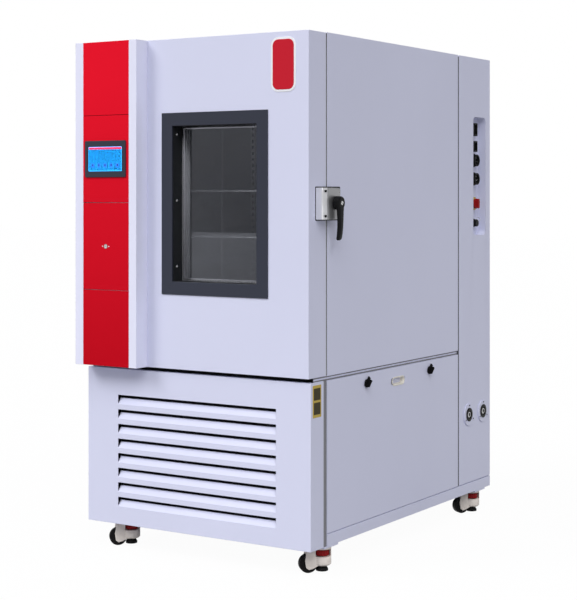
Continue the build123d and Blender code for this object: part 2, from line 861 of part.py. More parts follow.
def flap_pins(radius, length):
    """The flap's two hinge pins, above and below it."""
    low = fascia_seams[0] + seam_gap / 2
    high = fascia_seams[1] - seam_gap / 2
    lower = rod_z(low - length, low + 1, flap_axis_x, flap_axis_y, radius)
    upper = rod_z(high - 1, high + length, flap_axis_x, flap_axis_y, radius)
    return lower + upper


def touch_screen():
    """Bezel and display of the operating panel."""
    y1 = column_front
    y0 = y1 - screen_proud
    bezel = block(fascia_middle - screen_width / 2, fascia_middle + screen_width / 2, y0, y1,
                  screen_level - screen_height / 2, screen_level + screen_height / 2)
    bezel = fillet(bezel.edges().filter_by(Axis.Y), 6)
    opening = block(fascia_middle - display_width / 2, fascia_middle + display_width / 2, y0 - 1, y0 + 2,
                    screen_level - display_height / 2, screen_level + display_height / 2)
    display = block(fascia_middle - display_width / 2, fascia_middle + display_width / 2, y0 + 1, y0 + 2,
                    screen_level - display_height / 2, screen_level + display_height / 2)
    return bezel - opening, display


def service_flap():
    """Hinged red flap over the recorder pocket."""
    rear = column_front + fascia_thickness - apart
    flap = block(flap_left, fascia_right - seam_gap / 2, column_front, rear,
                 fascia_seams[0] + seam_gap / 2, fascia_seams[1] - seam_gap / 2)
    flap += flap_pins(flap_pin_radius, flap_pin_length)
    return flap - rod_y(column_front - 1, rear + 1, fascia_middle, lock_level, lock_radius + running)


def flap_lock():
    """Key lock with its cam behind the flap."""
    rear = column_front + fascia_thickness
    barrel = rod_y(column_front - 1, rear + 8, fascia_middle, lock_level, lock_radius)
    barrel -= block(fascia_middle - 0.8, fascia_middle + 0.8, column_front - 2, column_front + 1,
                    lock_level - 3, lock_level + 3)
    cam = block(fascia_middle - 5, fascia_middle + 5, rear + 5, rear + 8, lock_level - 6,
                lock_level + lock_cam_length)
    return barrel + cam


def hinge_leaf_solid(door_side):
    """Three lift-off hinge halves, for the door or for the cabinet."""
    pieces = []
    for level in hinge_levels:
        low = level - hinge_height / 2
        middle = level
        high = level + hinge_height / 2
        z0, z1 = (middle + apart, high) if door_side else (low, middle)
        knuckle = rod_z(z0, z1, hinge_x, hinge_y, hinge_radius)
        if door_side:
            leaf = block(-half - hinge_leaf, -half, hinge_y - hinge_leaf_reach, door_rear - 2, z0, z1)
            web = block(hinge_x, -half, hinge_y - hinge_radius, door_rear - 2, z0, z1)
            piece = knuckle + leaf + web - rod_z(z0 - 1, z1 + 1, hinge_x, hinge_y, hinge_pin_radius + running)
        else:
            leaf = block(-half - hinge_leaf, -half, main_front + 2, hinge_y + hinge_leaf_reach, z0, z1)
            web = block(hinge_x, -half, main_front + 2, hinge_y + hinge_radius, z0, z1)
            pin = rod_z(z1 - 20, high - 5, hinge_x, hinge_y, hinge_pin_radius)
            piece = knuckle + leaf + web + pin
        pieces.append(piece)
    return pieces


def latch_strike():
    """Keeper block on the door's right edge."""
    block_front = strike_front
    body = block(half, half + latch_proud, block_front, block_front + strike_length,
                 latch_bottom, latch_bottom + latch_height)
    body = fillet(body.edges().filter_by(Axis.Z).sort_by(Axis.X)[-2:], 4)
    return body


def latch_body():
    """Latch housing on the cabinet side, with the lever's spindle bore."""
    front = strike_front + strike_length + strike_gap
    top = latch_bottom + latch_height
    plate = block(half, half + latch_plate_thickness, main_front + 2, latch_plate_rear, latch_bottom, top)
    plate = fillet(plate.edges().filter_by(Axis.X).sort_by(Axis.Y)[-2:], 12)
    housing = block(half + 1, half + latch_proud, front, latch_body_rear, latch_bottom, top)
    housing = fillet(housing.edges().filter_by(Axis.X).sort_by(Axis.Y)[-2:], 14)
    housing = fillet(housing.edges().filter_by(Axis.Z).sort_by(Axis.X)[-1:], 2)
    bore = rod_x(half + 6, half + latch_proud + 1, lever_axis_y, lever_axis_z, lever_spindle_radius + running)
    return plate + housing - bore


def latch_lever():
    """Black lever: hub, spindle and the arm that hangs from its outer end."""
    hub = rod_x(half + lever_hub_start, half + lever_reach, lever_axis_y, lever_axis_z, lever_hub_radius)
    hub = fillet(hub.edges().filter_by(GeomType.CIRCLE).sort_by(Axis.X)[-1:], 3)
    spindle = rod_x(half + 7, half + lever_hub_start + 1, lever_axis_y, lever_axis_z, lever_spindle_radius)
    x0 = half + lever_reach - lever_arm_thickness
    x1 = half + lever_reach
    side = lever_arm_width / 2
    outline = [
        (lever_axis_y - side, lever_axis_z),
        (lever_axis_y + side, lever_axis_z),
        (lever_axis_y + side - 2, lever_tip + lever_bend),
        (lever_axis_y + side - 2 - lever_tip_lean, lever_tip),
        (lever_axis_y - side + 2 - lever_tip_lean, lever_tip),
        (lever_axis_y - side + 2, lever_tip + lever_bend),
    ]
    arm = make_face(Polyline(*[(x0, y, z) for y, z in outline], close=True))
    arm = extrude(arm, x1 - x0, dir=(1, 0, 0))
    arm = fillet(arm.edges().filter_by(Axis.X).sort_by(Axis.Z)[:2], 6)
    return hub + spindle + arm


def access_panel():
    """Lift-off side panel, with its moulded finger pull."""
    tray = side_tray(half, main_front + apart, main_rear - seam, lip_top + apart, lower_top)
    hole = block(half - 2 * sheet, half + 1, pull_y - pull_width / 2, pull_y + pull_width / 2,
                 pull_z - pull_height / 2, pull_z + pull_height / 2)
    hole = fillet(hole.edges().filter_by(Axis.X), pull_height / 2 - 1)
    tray -= hole
    for y in quarter_turn_positions.values():
        tray -= rod_x(half - 2 * sheet, half + 1, y, quarter_turn_level, quarter_turn_shaft + running)
    cup = block(half - pull_depth, half, pull_y - pull_width / 2, pull_y + pull_width / 2,
                pull_z - pull_height / 2, pull_z + pull_height / 2)
    cup = fillet(cup.edges().filter_by(Axis.X), pull_height / 2 - 1)
    hollow = block(half - pull_depth + sheet, half + 1, pull_y - pull_width / 2 + 3, pull_y + pull_width / 2 - 3,
                   pull_z - pull_height / 2 + 3, pull_z + pull_height / 2 - 3)
    hollow = fillet(hollow.edges().filter_by(Axis.X), pull_height / 2 - 4)
    return tray, cup - hollow


def panel_latch(y):
    """Quarter-turn wing latch: knob, wing, shaft and cam."""
    z = quarter_turn_level
    knob = rod_x(half + apart, half + 8, y, z, quarter_turn_radius)
    wing = block(half + 7, half + 20, -4, 4, -quarter_turn_radius, quarter_turn_radius)
    wing = Pos(0, y, z) * Rot(-45, 0, 0) * wing
    neck = Pos(0, y, z) * Rot(-45, 0, 0) * block(half + apart, half + 7, -7, 7, 0, 28)
    shaft = rod_x(half - 16, half + 1, y, z, quarter_turn_shaft)
    cam = block(half - 16, half - 12, y - 6, y + 6, z - 6, z + 24)
    return knob + wing + neck + shaft + cam


def caster_frame(x, y, turn):
    """Place of a caster: u points from the swivel axis to the wheel."""
    return Pos(x, y, 0) * Rot(0, 0, turn)


def caster_housing():
    """Cast housing with the cheeks, the thumbwheel window and the axle."""
    reach = wheel_width / 2 + wheel_side_clearance + cheek
    nose = wheel_offset + fork_overhang
    outline = [(0, housing_floor), (housing_throat, housing_floor), (wheel_offset - fork_boss, fork_low + fork_rise),
               (wheel_offset, fork_low), (nose - fork_round, fork_low + 2 * fork_round), (nose, wheel_radius + fork_rise * 3),
               (nose - 1.5 * fork_round, window_high - fork_rise), (wheel_offset - fork_rise * 3, caster_top),
               (0, caster_top)]
    side = make_face(Polyline(*[(u, -reach, z) for u, z in outline], close=True))
    body = extrude(side, 2 * reach, dir=(0, 1, 0))
    barrel = rod_z(housing_floor, caster_top, 0, 0, housing_radius)
    barrel = chamfer(barrel.edges().filter_by(GeomType.CIRCLE).sort_by(Axis.Z)[:1], 6)
    body += barrel
    slot = wheel_width / 2 + wheel_side_clearance
    body -= rod_y(-slot, slot, wheel_offset, wheel_radius, wheel_radius + 2.5)
    body -= block(wheel_offset, wheel_offset + 60, -slot, slot, -1, wheel_radius * 2)
    body -= block(wheel_offset - 20, wheel_offset + 60, -slot, slot, -1, wheel_radius)
    body -= block(-thumb_radius - thumb_clearance, thumb_radius + thumb_clearance, -60, 60,
                  window_low, window_high)
    body -= rod_z(0, window_low + 1, 0, 0, stem_radius + running)
    body -= rod_z(window_high - 1, caster_top + 1, 0, 0, kingpin_radius + running)
    axle = rod_y(-reach, reach, wheel_offset, wheel_radius, axle_radius)
    return body + axle


def caster_wheel():
    """Hub turning on the axle, with the tread rings bonded round it."""
    half = wheel_width / 2
    hub_radius = wheel_radius - tread_depth
    hub = rod_y(-half, half, wheel_offset, wheel_radius, hub_radius)
    pieces = [hub - rod_y(-wheel_width, wheel_width, wheel_offset, wheel_radius, axle_radius + running)]
    pitch = (wheel_width + tread_groove) / tread_count
    for index in range(tread_count):
        low = index * pitch - half
        high = low + pitch - tread_groove
        ring = rod_y(low, high, wheel_offset, wheel_radius, wheel_radius)
        edges = ring.edges().filter_by(GeomType.CIRCLE).sort_by(Axis.Y)
        first = shoulder_round if index == 0 else tread_round
        last = shoulder_round if index == tread_count - 1 else tread_round
        ring = fillet(edges[:1], first)
        ring = fillet(ring.edges().filter_by(GeomType.CIRCLE).sort_by(Axis.Y)[-1:], last)
        pieces.append(ring - rod_y(low - tread_groove, high + tread_groove, wheel_offset, wheel_radius, hub_radius))
    return pieces


def caster_thumbwheel():
    """Ribbed adjusting wheel on the screw stem."""
    low = (window_low + window_high - thumb_height) / 2
    wheel = rod_z(low, low + thumb_height, 0, 0, thumb_radius)
    for index in range(16):
        angle = math.radians(index * 22.5)
        wheel -= rod_z(low - 1, low + thumb_height + 1, (thumb_radius + 1) * math.cos(angle),
                       (thumb_radius + 1) * math.sin(angle), 3)
    return wheel - rod_z(low - 1, low + thumb_height + 1, 0, 0, stem_radius + running)


def caster_pad():
    """Rubber levelling pad on its screw stem."""
    foot = rod_z(pad_bottom, pad_bottom + 7, 0, 0, pad_radius)
    crown = Pos(0, 0, pad_bottom + (7 + pad_height) / 2) * Cone(pad_radius, pad_top_radius, pad_height - 7)
    stem = rod_z(pad_bottom + pad_height - 1, stem_top, 0, 0, stem_radius)
    return foot + crown + stem


def build():
    """Write every node."""
    os.makedirs("parts", exist_ok=True)
    save("base_frame", *base_frame())
    save("front_louvre_panel", front_louvre_panel())
    body_panels()
    save("deck_plate", block(-recessed, recessed, sheet * 12, main_rear, deck_bottom, deck_top))
    save("rear_bulkhead", rear_bulkhead())
    save("inner_liner", inner_liner())
    save("insulation", *insulation())
    save("shelf_uprights", *shelf_uprights())
    for name, level in shelf_levels.items():
        save(name, shelf(level))
    save("air_baffle", air_baffle())
    save("air_coils", *air_coils())
    save("circulation_fan", circulation_fan())
    save("fan_motor", fan_motor())
    save("refrigeration_unit", *compressor(), *condenser())
    save("condenser_fan", condenser_fan())
    save("control_plate", *control_plate())
    save("pocket_tray", pocket_tray())
    save("service_ports", *pocket_devices(), *[water_port(y) for y in port_positions])
    save("isolator_handle", isolator_handle())
    save("latch_body", latch_body())
    save("latch_lever", latch_lever())
    save("cabinet_hinge_leaves", *hinge_leaf_solid(False))
    save("access_panel", *access_panel())
    for name, y in quarter_turn_positions.items():
        save(name, panel_latch(y))
    save("door_skin", door_shell())
    save("door_insulation", door_core())
    save("door_liner", door_liner())
    save("door_gasket", door_gasket())
    save("window_frame", window_frame())
    save("window_glass", *window_glass())
    save("door_hardware", latch_strike(), *hinge_leaf_solid(True))
    save("column_housing", column_housing())
    save("fascia_panels", *fascia_panels())
    save("touch_screen", *touch_screen())
    save("service_flap", service_flap())
    save("flap_lock", flap_lock())
    for place, (x, y, turn) in caster_places.items():
        frame = caster_frame(x, y, turn)
        save(f"caster_housing_{place}", frame * caster_housing())
        save(f"caster_wheel_{place}", *[frame * piece for piece in caster_wheel()])
        save(f"thumbwheel_{place}", frame * caster_thumbwheel())
        save(f"levelling_pad_{place}", frame * caster_pad())


build()
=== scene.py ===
"""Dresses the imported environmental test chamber: finishes, small hardware, light and camera."""

import json
import math

import bmesh
import bpy
from bpy.props import FloatProperty, FloatVectorProperty, IntProperty, PointerProperty
from mathutils import Matrix, Vector


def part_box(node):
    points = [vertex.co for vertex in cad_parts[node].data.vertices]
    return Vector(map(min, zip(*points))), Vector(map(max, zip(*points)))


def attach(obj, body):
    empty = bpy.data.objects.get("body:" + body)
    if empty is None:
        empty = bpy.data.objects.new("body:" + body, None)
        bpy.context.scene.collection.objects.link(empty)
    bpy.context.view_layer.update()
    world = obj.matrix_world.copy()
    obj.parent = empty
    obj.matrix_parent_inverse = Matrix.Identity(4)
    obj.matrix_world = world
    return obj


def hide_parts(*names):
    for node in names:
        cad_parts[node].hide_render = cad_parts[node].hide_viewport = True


bl_info = {
    "name": "Environmental Test Chamber",
    "version": (1, 0, 0),
    "blender": (4, 5, 0),
    "location": "View3D > Sidebar > Chamber",
    "description": "Dresses a climate test chamber around its packed frame",
    "category": "Object",
}

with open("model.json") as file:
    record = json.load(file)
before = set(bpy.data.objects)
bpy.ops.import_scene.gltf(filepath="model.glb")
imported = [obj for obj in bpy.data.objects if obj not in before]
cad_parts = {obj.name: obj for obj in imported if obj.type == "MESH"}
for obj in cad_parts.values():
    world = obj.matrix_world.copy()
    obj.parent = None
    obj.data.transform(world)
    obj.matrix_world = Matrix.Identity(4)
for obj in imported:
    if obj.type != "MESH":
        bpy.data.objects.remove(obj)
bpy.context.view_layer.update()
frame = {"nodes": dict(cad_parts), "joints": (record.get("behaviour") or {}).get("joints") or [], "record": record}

CASTER_PLACES = ("front_right", "front_left", "rear_right", "rear_left")
# Across, up and outward on each side of the cabinet, and the corners of a square.
FRONT = (Vector((1, 0, 0)), Vector((0, 0, 1)), Vector((0, -1, 0)))
RIGHT = (Vector((0, 1, 0)), Vector((0, 0, 1)), Vector((1, 0, 0)))
BACK = (Vector((-1, 0, 0)), Vector((0, 0, 1)), Vector((0, 1, 0)))
LEFT = (Vector((0, -1, 0)), Vector((0, 0, 1)), Vector((-1, 0, 0)))
SQUARE = ((-1, -1), (1, -1), (1, 1), (-1, 1))


def colour_property(name, default, description):
    """A colour that the user can change."""
    return FloatVectorProperty(name=name, description=description, default=default, size=3,
                               min=0.0, max=1.0, subtype="COLOR")


def length_property(name, default, description):
    """A length in metres that the user can change."""
    return FloatProperty(name=name, description=description, default=default, min=0.0,
                         unit="LENGTH", subtype="DISTANCE")


class ChamberColours(bpy.types.PropertyGroup):
    """Colours of the chamber's finishes, as linear values."""

    paint: colour_property("Body paint", (0.672, 0.69, 0.868), "Satin powder coat of the cabinet")
    # Paler copy of the body paint: painted light on the control column, for the light the door's front throws back
    # onto it.
    column: colour_property("Column paint", (0.79, 0.8, 0.965), "Paler coat of the control column")
    plate: colour_property("Plate red", (0.56, 0.014, 0.03), "Plain plate on the door")
    fascia: colour_property("Fascia red", (0.8, 0.009, 0.026), "Gloss coat of the control column")
    # Groove grey is painted shade: the recessed strips between the panels take the colour of the shade in them.
    groove: colour_property("Groove grey", (0.19, 0.19, 0.215), "Recessed strips between the panels")
    window: colour_property("Window frame", (0.026, 0.03, 0.048), "Moulded window frame")
    casting: colour_property("Caster paint", (0.92, 0.85, 0.79), "Textured coat of the caster housings")
    black: colour_property("Black plastic", (0.006, 0.0062, 0.0075), "Lever, sockets and wing latches")
    thumb: colour_property("Thumbwheel red", (0.3, 0.008, 0.01), "Red moulded parts")
    yellow: colour_property("Plate yellow", (0.5, 0.35, 0.03), "Blank plate and isolator base")
    display: colour_property("Display blue", (0.022, 0.4, 0.96), "Lit background of the display")


class ChamberSizes(bpy.types.PropertyGroup):
    """Sizes of the details that the dressing adds."""

    fold: length_property("Panel fold", 0.0012, "Radius of the folded sheet edges")
    moulding: length_property("Moulding edge", 0.0016, "Radius of the edges of moulded parts")
    screw_head: length_property("Screw head", 0.005, "Radius of the panel screws' heads")
    bead_pitch: length_property("Bead pitch", 0.0075, "Distance between the beads of the glass spacer")
    tread_ribs: IntProperty(name="Tread ribs", description="Ribs round a caster wheel", default=36, min=6)
    badge_height: length_property("Badge height", 0.192, "Height of the plain plate on the door")
    badge_width: length_property("Badge width", 0.104, "Width of the plain plate on the door")


def colours():
    """The colour settings of the scene."""
    return bpy.context.scene.chamber_colours


def sizes():
    """The size settings of the scene."""
    return bpy.context.scene.chamber_sizes


# Places read from the frame


def corner(node, which):
    """Lowest (0) or highest (1) corner of a node."""
    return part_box(node)[which]


def centre(node):
    """Middle of a node's box."""
    low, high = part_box(node)
    return (low + high) / 2


def levels_of(node, axis, digits=4, wanted=None):
    """The different coordinates along an axis at which a node has vertices."""
    return sorted({round(vertex.co[axis], digits) for vertex in frame["nodes"][node].data.vertices
                   if wanted is None or wanted(vertex.co)})


def named(items, name):
    """The entry with a name in a list of the frame."""
    return next(item for item in items if item["name"] == name)


# Node helpers


def set_inputs(tree, node, inputs):
    """Gives each input its value, or a link where the value is another node's socket."""
    for label, value in inputs.items():
        if isinstance(value, bpy.types.NodeSocket):
            tree.links.new(value, node.inputs[label])
        else:
            node.inputs[label].default_value = value


def add_node(tree, kind, inputs=None, **settings):
    """A new node with its settings and inputs."""
    node = tree.nodes.new(kind)
    for name, value in settings.items():
        setattr(node, name, value)
    set_inputs(tree, node, inputs or {})
    return node


def new_material(name):
    """An empty material, with its tree and its shader."""
    material = bpy.data.materials.new(name)
    material.use_nodes = True
    return material, material.node_tree, material.node_tree.nodes["Principled BSDF"]


def new_group(name, inputs, outputs):
    """An empty shader group with named sockets."""
    group = bpy.data.node_groups.new(name, "ShaderNodeTree")
    for label, kind, default in inputs:
        socket = group.interface.new_socket(name=label, in_out="INPUT", socket_type=kind)
        socket.default_value = default
    for label, kind in outputs:
        group.interface.new_socket(name=label, in_out="OUTPUT", socket_type=kind)
    return group, group.nodes.new("NodeGroupInput"), group.nodes.new("NodeGroupOutput")


def object_place(tree):
    """Coordinates in the piece's own frame."""
    return tree.nodes.new("ShaderNodeTexCoord").outputs["Object"]


def object_height(tree, place):
    """Height of a place, as a socket."""
    return add_node(tree, "ShaderNodeSeparateXYZ", {0: place}).outputs["Z"]


def stretched_noise(tree, place, stretch, scale, detail):
    """Noise on object coordinates, stretched by a vector."""
    mapping = add_node(tree, "ShaderNodeMapping", {"Scale": stretch, "Vector": place})
    return add_node(tree, "ShaderNodeTexNoise", {
        "Detail": detail, "Scale": scale, "Vector": mapping.outputs["Vector"]}).outputs["Fac"]


def map_range(tree, value, low, high, start=0.3, end=0.7):
    """Maps start to low and end to high; the middle of a noise lies between 0.3 and 0.7."""
    return add_node(tree, "ShaderNodeMapRange", {
        "From Min": start, "From Max": end, "Value": value, "To Min": low, "To Max": high}).outputs["Result"]


def combine(tree, operation, first, second):
    """A math node on two sockets or numbers."""
    return add_node(tree, "ShaderNodeMath", {0: first, 1: second}, operation=operation).outputs[0]


def mixed(tree, share, first, second):
    """Mixes two colours."""
    return add_node(tree, "ShaderNodeMix", {0: share, 6: first, 7: second}, data_type="RGBA").outputs[2]


# Shader groups


def fine_grain_group():
    """Fine grain: small bump, a slight colour drift and a little change of roughness."""
    name = "Fine Grain"
    if name in bpy.data.node_groups:
        return bpy.data.node_groups[name]
    group, enter, leave = new_group(
        name,
        [("Color", "NodeSocketColor", (0.8, 0.8, 0.8, 1)), ("Roughness", "NodeSocketFloat", 0.5),
         ("Scale", "NodeSocketFloat", 900.0), ("Bump", "NodeSocketFloat", 0.1),
         ("Drift", "NodeSocketFloat", 0.04), ("Stretch", "NodeSocketVector", (1, 1, 1))],
        [("Color", "NodeSocketColor"), ("Roughness", "NodeSocketFloat"), ("Normal", "NodeSocketVector")],
    )
    given = enter.outputs
    place = object_place(group)
    stretch = add_node(group, "ShaderNodeVectorMath", {0: place, 1: given["Stretch"]}, operation="MULTIPLY")
    fine = stretched_noise(group, stretch.outputs[0], (1, 1, 1), given["Scale"], 3.0)
    broad = stretched_noise(group, place, (1, 1, 0.6), 2.4, 2.0)
    high = combine(group, "ADD", 1.0, given["Drift"])
    low = combine(group, "SUBTRACT", 1.0, given["Drift"])
    speck = map_range(group, fine, combine(group, "MULTIPLY_ADD", low, 0.5), high)
    speck = combine(group, "ADD", 0.75, combine(group, "MULTIPLY", speck, 0.25))
    drift = combine(group, "MULTIPLY", map_range(group, broad, low, high), speck)
    tint = add_node(group, "ShaderNodeVectorMath", operation="SCALE")
    set_inputs(group, tint, {0: given["Color"], "Scale": drift})
    bump = add_node(group, "ShaderNodeBump", {"Distance": 0.0002, "Strength": given["Bump"], "Height": fine})
    set_inputs(group, leave, {
        "Color": tint.outputs[0], "Normal": bump.outputs["Normal"],
        "Roughness": combine(group, "MULTIPLY", given["Roughness"], map_range(group, fine, 0.88, 1.12))})
    return group


def handling_group():
    """Handling marks: patches where a finish is rubbed lighter or dusty."""
    name = "Handling Marks"
    if name in bpy.data.node_groups:
        return bpy.data.node_groups[name]
    group, enter, leave = new_group(
        name,
        [("Color", "NodeSocketColor", (0.8, 0.8, 0.8, 1)),
         ("Mark Color", "NodeSocketColor", (0.5, 0.5, 0.5, 1)),
         ("Amount", "NodeSocketFloat", 0.2), ("Scale", "NodeSocketFloat", 30.0)],
        [("Color", "NodeSocketColor"), ("Mask", "NodeSocketFloat")],
    )
    given = enter.outputs
    patches = stretched_noise(group, object_place(group), (1, 1, 1), given["Scale"], 6.0)
    mask = combine(group, "MULTIPLY", map_range(group, patches, 0.0, 1.0), given["Amount"])
    set_inputs(group, leave, {"Color": mixed(group, mask, given["Color"], given["Mark Color"]), "Mask": mask})
    return group


# Finishes


def finish_material(name, colour, roughness, scale=900.0, bump=0.12, drift=0.03, stretch=(1, 1, 1),
                    metallic=0.0, specular=0.5, marks=None, emission=0.0, fade=None):
    """A named material with grain; marks adds handling marks, fade a darker colour lower down."""
    name += "_finish"
    if name in bpy.data.materials:
        return bpy.data.materials[name]
    material, tree, shader = new_material(name)
    grain = add_node(tree, "ShaderNodeGroup", node_tree=fine_grain_group())
    set_inputs(tree, grain, {"Color": (*colour, 1), "Roughness": roughness, "Scale": scale, "Bump": bump,
                             "Drift": drift, "Stretch": stretch})
    shade = grain.outputs["Color"]
    if marks:
        mark, amount, patch_scale = marks
        handling = add_node(tree, "ShaderNodeGroup", node_tree=handling_group())
        set_inputs(tree, handling, {"Color": shade, "Mark Color": (*mark, 1), "Amount": amount,
                                    "Scale": patch_scale})
        shade = handling.outputs["Color"]
    if fade:
        lower, bottom, top = fade
        rise = map_range(tree, object_height(tree, object_place(tree)), 0.0, 1.0, bottom, top)
        shade = mixed(tree, rise, (*lower, 1), shade)
    set_inputs(tree, shader, {"Metallic": metallic, "Specular IOR Level": specular, "Base Color": shade,
                              "Roughness": grain.outputs["Roughness"], "Normal": grain.outputs["Normal"]})
    if emission:
        set_inputs(tree, shader, {"Emission Color": shade, "Emission Strength": emission})
    return material


# Name, colour (a linear value, or the name of a setting), roughness, grain scale, bump, drift, the rest.
FINISHES = {
    "paint": ("body_paint", "paint", 0.42, 700.0, 0.1, 0.012, {"specular": 0.3}),
    # The column's paler coat paints the light thrown back onto it from the door.
    "column_paint": ("column_paint", "column", 0.42, 700.0, 0.1, 0.012, {"specular": 0.2}),
    "fascia_coat": ("fascia_red", "fascia", 0.34, 500.0, 0.05, 0.015,
                    {"specular": 0.0, "fade": ((0.52, 0.005, 0.014), 0.7, 1.75)}),
    "plate_coat": ("plate_red", "plate", 0.3, 500.0, 0.05, 0.015, {"specular": 0.1}),
    # Groove grey paints the shade in the recesses between the panels.
    "groove_coat": ("groove_grey", "groove", 0.5, 800.0, 0.12, 0.03, {}),
    "frame_moulding": ("frame_grey", "window", 0.42, 1400.0, 0.2, 0.04, {"specular": 0.3}),
    # Dark moulding of the window reveal, also painting the shade of the slots in the shelf uprights.
    "dark_moulding": ("reveal_dark", (0.014, 0.0155, 0.018), 0.5, 1400.0, 0.2, 0.05, {"specular": 0.2}),
    "chrome": ("latch_chrome", (0.72, 0.725, 0.74), 0.16, 300.0, 0.04, 0.02,
               {"metallic": 1.0, "marks": ((0.45, 0.45, 0.47), 0.2, 60.0)}),
    "keeper_metal": ("keeper_polished", (0.86, 0.865, 0.9), 0.2, 300.0, 0.04, 0.02, {"metallic": 0.5}),
    "die_cast": ("latch_die_cast", (0.42, 0.425, 0.44), 0.36, 900.0, 0.2, 0.03, {"metallic": 0.9}),
    "black_plastic": ("black_plastic", "black", 0.4, 1500.0, 0.2, 0.05,
                      {"specular": 0.12, "marks": ((0.014, 0.014, 0.015), 0.2, 70.0)}),
    "rubber": ("black_rubber", (0.006, 0.006, 0.0065), 0.6, 1100.0, 0.3, 0.06,
               {"specular": 0.12, "marks": ((0.02, 0.019, 0.018), 0.2, 90.0)}),
    # Near black for the wing latches and the gaskets, also painting the deep shade in gaps, seams and slits.
    "gap_black": ("gap_black", (0.003, 0.003, 0.0035), 0.7, 900.0, 0.1, 0.05, {"specular": 0.1}),
    # Seal grey colours the door's edge seal and paints the shade in the rear grooves.
    "seal_grey": ("seal_grey", (0.085, 0.087, 0.105), 0.6, 900.0, 0.15, 0.04, {"specular": 0.2}),
    "red_plastic": ("red_plastic", "thumb", 0.34, 1200.0, 0.1, 0.04, {"specular": 0.15}),
    "yellow_coat": ("yellow_plate", "yellow", 0.4, 900.0, 0.08, 0.03, {}),
    "dark_field": ("plate_dark_field", (0.05, 0.04, 0.015), 0.45, 900.0, 0.12, 0.03, {"specular": 0.1}),
    "blue_cap": ("signal_blue", (0.02, 0.03, 0.16), 0.3, 900.0, 0.12, 0.03, {}),
    "casting_coat": ("caster_casting", "casting", 0.52, 1300.0, 0.5, 0.04,
                     {"marks": ((0.6, 0.54, 0.49), 0.25, 80.0)}),
    "pull_moulding": ("pull_ivory", (0.78, 0.75, 0.68), 0.42, 1300.0, 0.15, 0.03, {}),
    "white_edge": ("badge_rim", (0.86, 0.87, 0.92), 0.35, 900.0, 0.05, 0.02, {}),
    "copper": ("copper_tube", (0.72, 0.32, 0.19), 0.3, 500.0, 0.15, 0.06, {"metallic": 1.0}),
    "foam": ("insulation_foam", (0.72, 0.64, 0.42), 0.85, 260.0, 0.7, 0.08, {}),
    "motor_coat": ("motor_enamel", (0.05, 0.053, 0.06), 0.4, 900.0, 0.3, 0.05, {}),
    "device_grey": ("device_plastic", (0.42, 0.43, 0.44), 0.45, 1200.0, 0.15, 0.04, {}),
    "lit_display": ("display_blue", "display", 0.25, 600.0, 0.0, 0.02, {"emission": 3.0}),
    "lit_bar": ("display_red", (0.75, 0.03, 0.1), 0.25, 600.0, 0.0, 0.02, {"emission": 0.8}),
    "lit_key": ("display_key", (0.01, 0.13, 0.6), 0.25, 600.0, 0.0, 0.02, {"emission": 1.4}),
    "lit_dot": ("display_dot", (0.01, 0.04, 0.16), 0.25, 600.0, 0.0, 0.02, {"emission": 0.6}),
}

# Name, stretch of the grain, shade, roughness, metallic.
BRUSHED = {
    "spacer_metal": ("spacer_aluminium", (1, 1, 1), 0.9, 0.4, 0.1),
    "liner_steel": ("liner_steel", (1, 1, 0.03), 0.7, 0.32, 0.4),
    "upright_steel": ("upright_steel", (1, 1, 0.04), 0.9, 0.28, 0.3),
    "wire_steel": ("wire_steel", (1, 1, 1), 0.95, 0.25, 0.2),
    "fan_steel": ("fan_steel", (1, 1, 1), 0.6, 0.3, 1.0),
    # Paler than the liner steel: the ribs carry a painted highlight.
    "rib_steel": ("rib_steel", (1, 1, 0.04), 0.98, 0.25, 0.1),
    "fin_metal": ("fin_aluminium", (1, 1, 1), 0.7, 0.35, 1.0),
}


def finish(material):
    """The material for a name in the two tables; a material is given back as it is."""
    if material in BRUSHED:
        name, stretch, shade, roughness, metallic = BRUSHED[material]
        return finish_material(name, (shade, shade * 1.005, shade * 1.02), roughness, 700.0, 0.22, 0.03,
                               stretch, metallic=metallic)
    if material not in FINISHES:
        return material
    name, colour, *values, more = FINISHES[material]
    if isinstance(colour, str):
        colour = getattr(colours(), colour)
    return finish_material(name, colour, *values, **more)


def glass_material(outer_shaded):
    """Glass with a little random change of colour; the outer pane has a dark tint, more so low down: painted shade
    of the working space behind it.
    """
    name = "tinted_pane" if outer_shaded else "clear_pane"
    if name in bpy.data.materials:
        return bpy.data.materials[name]
    dark, pale = (0.9, 0.91, 0.92, 1), (0.94, 0.95, 0.96, 1)
    material, tree, shader = new_material(name)
    place = object_place(tree)
    haze_and_painted_shade = stretched_noise(tree, place, (1, 1, 1), 3.0, 2.0)
    # The outer pane's dark tint, darkest at the bottom, is painted shade of the working space.
    if outer_shaded:
        dark, pale = (0.14, 0.145, 0.165, 1), (0.9, 0.9, 0.97, 1)
        low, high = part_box("window_glass")
        rise = map_range(tree, object_height(tree, place), 0.0, 1.0, low.z, high.z)
        haze_and_painted_shade = combine(tree, "ADD", combine(tree, "MULTIPLY", haze_and_painted_shade, 0.25),
                       combine(tree, "MULTIPLY", rise, 0.75))
    ramp = add_node(tree, "ShaderNodeValToRGB", {"Fac": haze_and_painted_shade})
    ramp.color_ramp.elements[0].color = dark
    ramp.color_ramp.elements[1].color = pale
    set_inputs(tree, shader, {
        "Transmission Weight": 1.0, "IOR": 1.62 if outer_shaded else 1.12, "Specular Tint": (0.86, 0.89, 1.0, 1),
        "Roughness": 0.0, "Base Color": ramp.outputs["Color"]})
    return material


# Geometry node trees


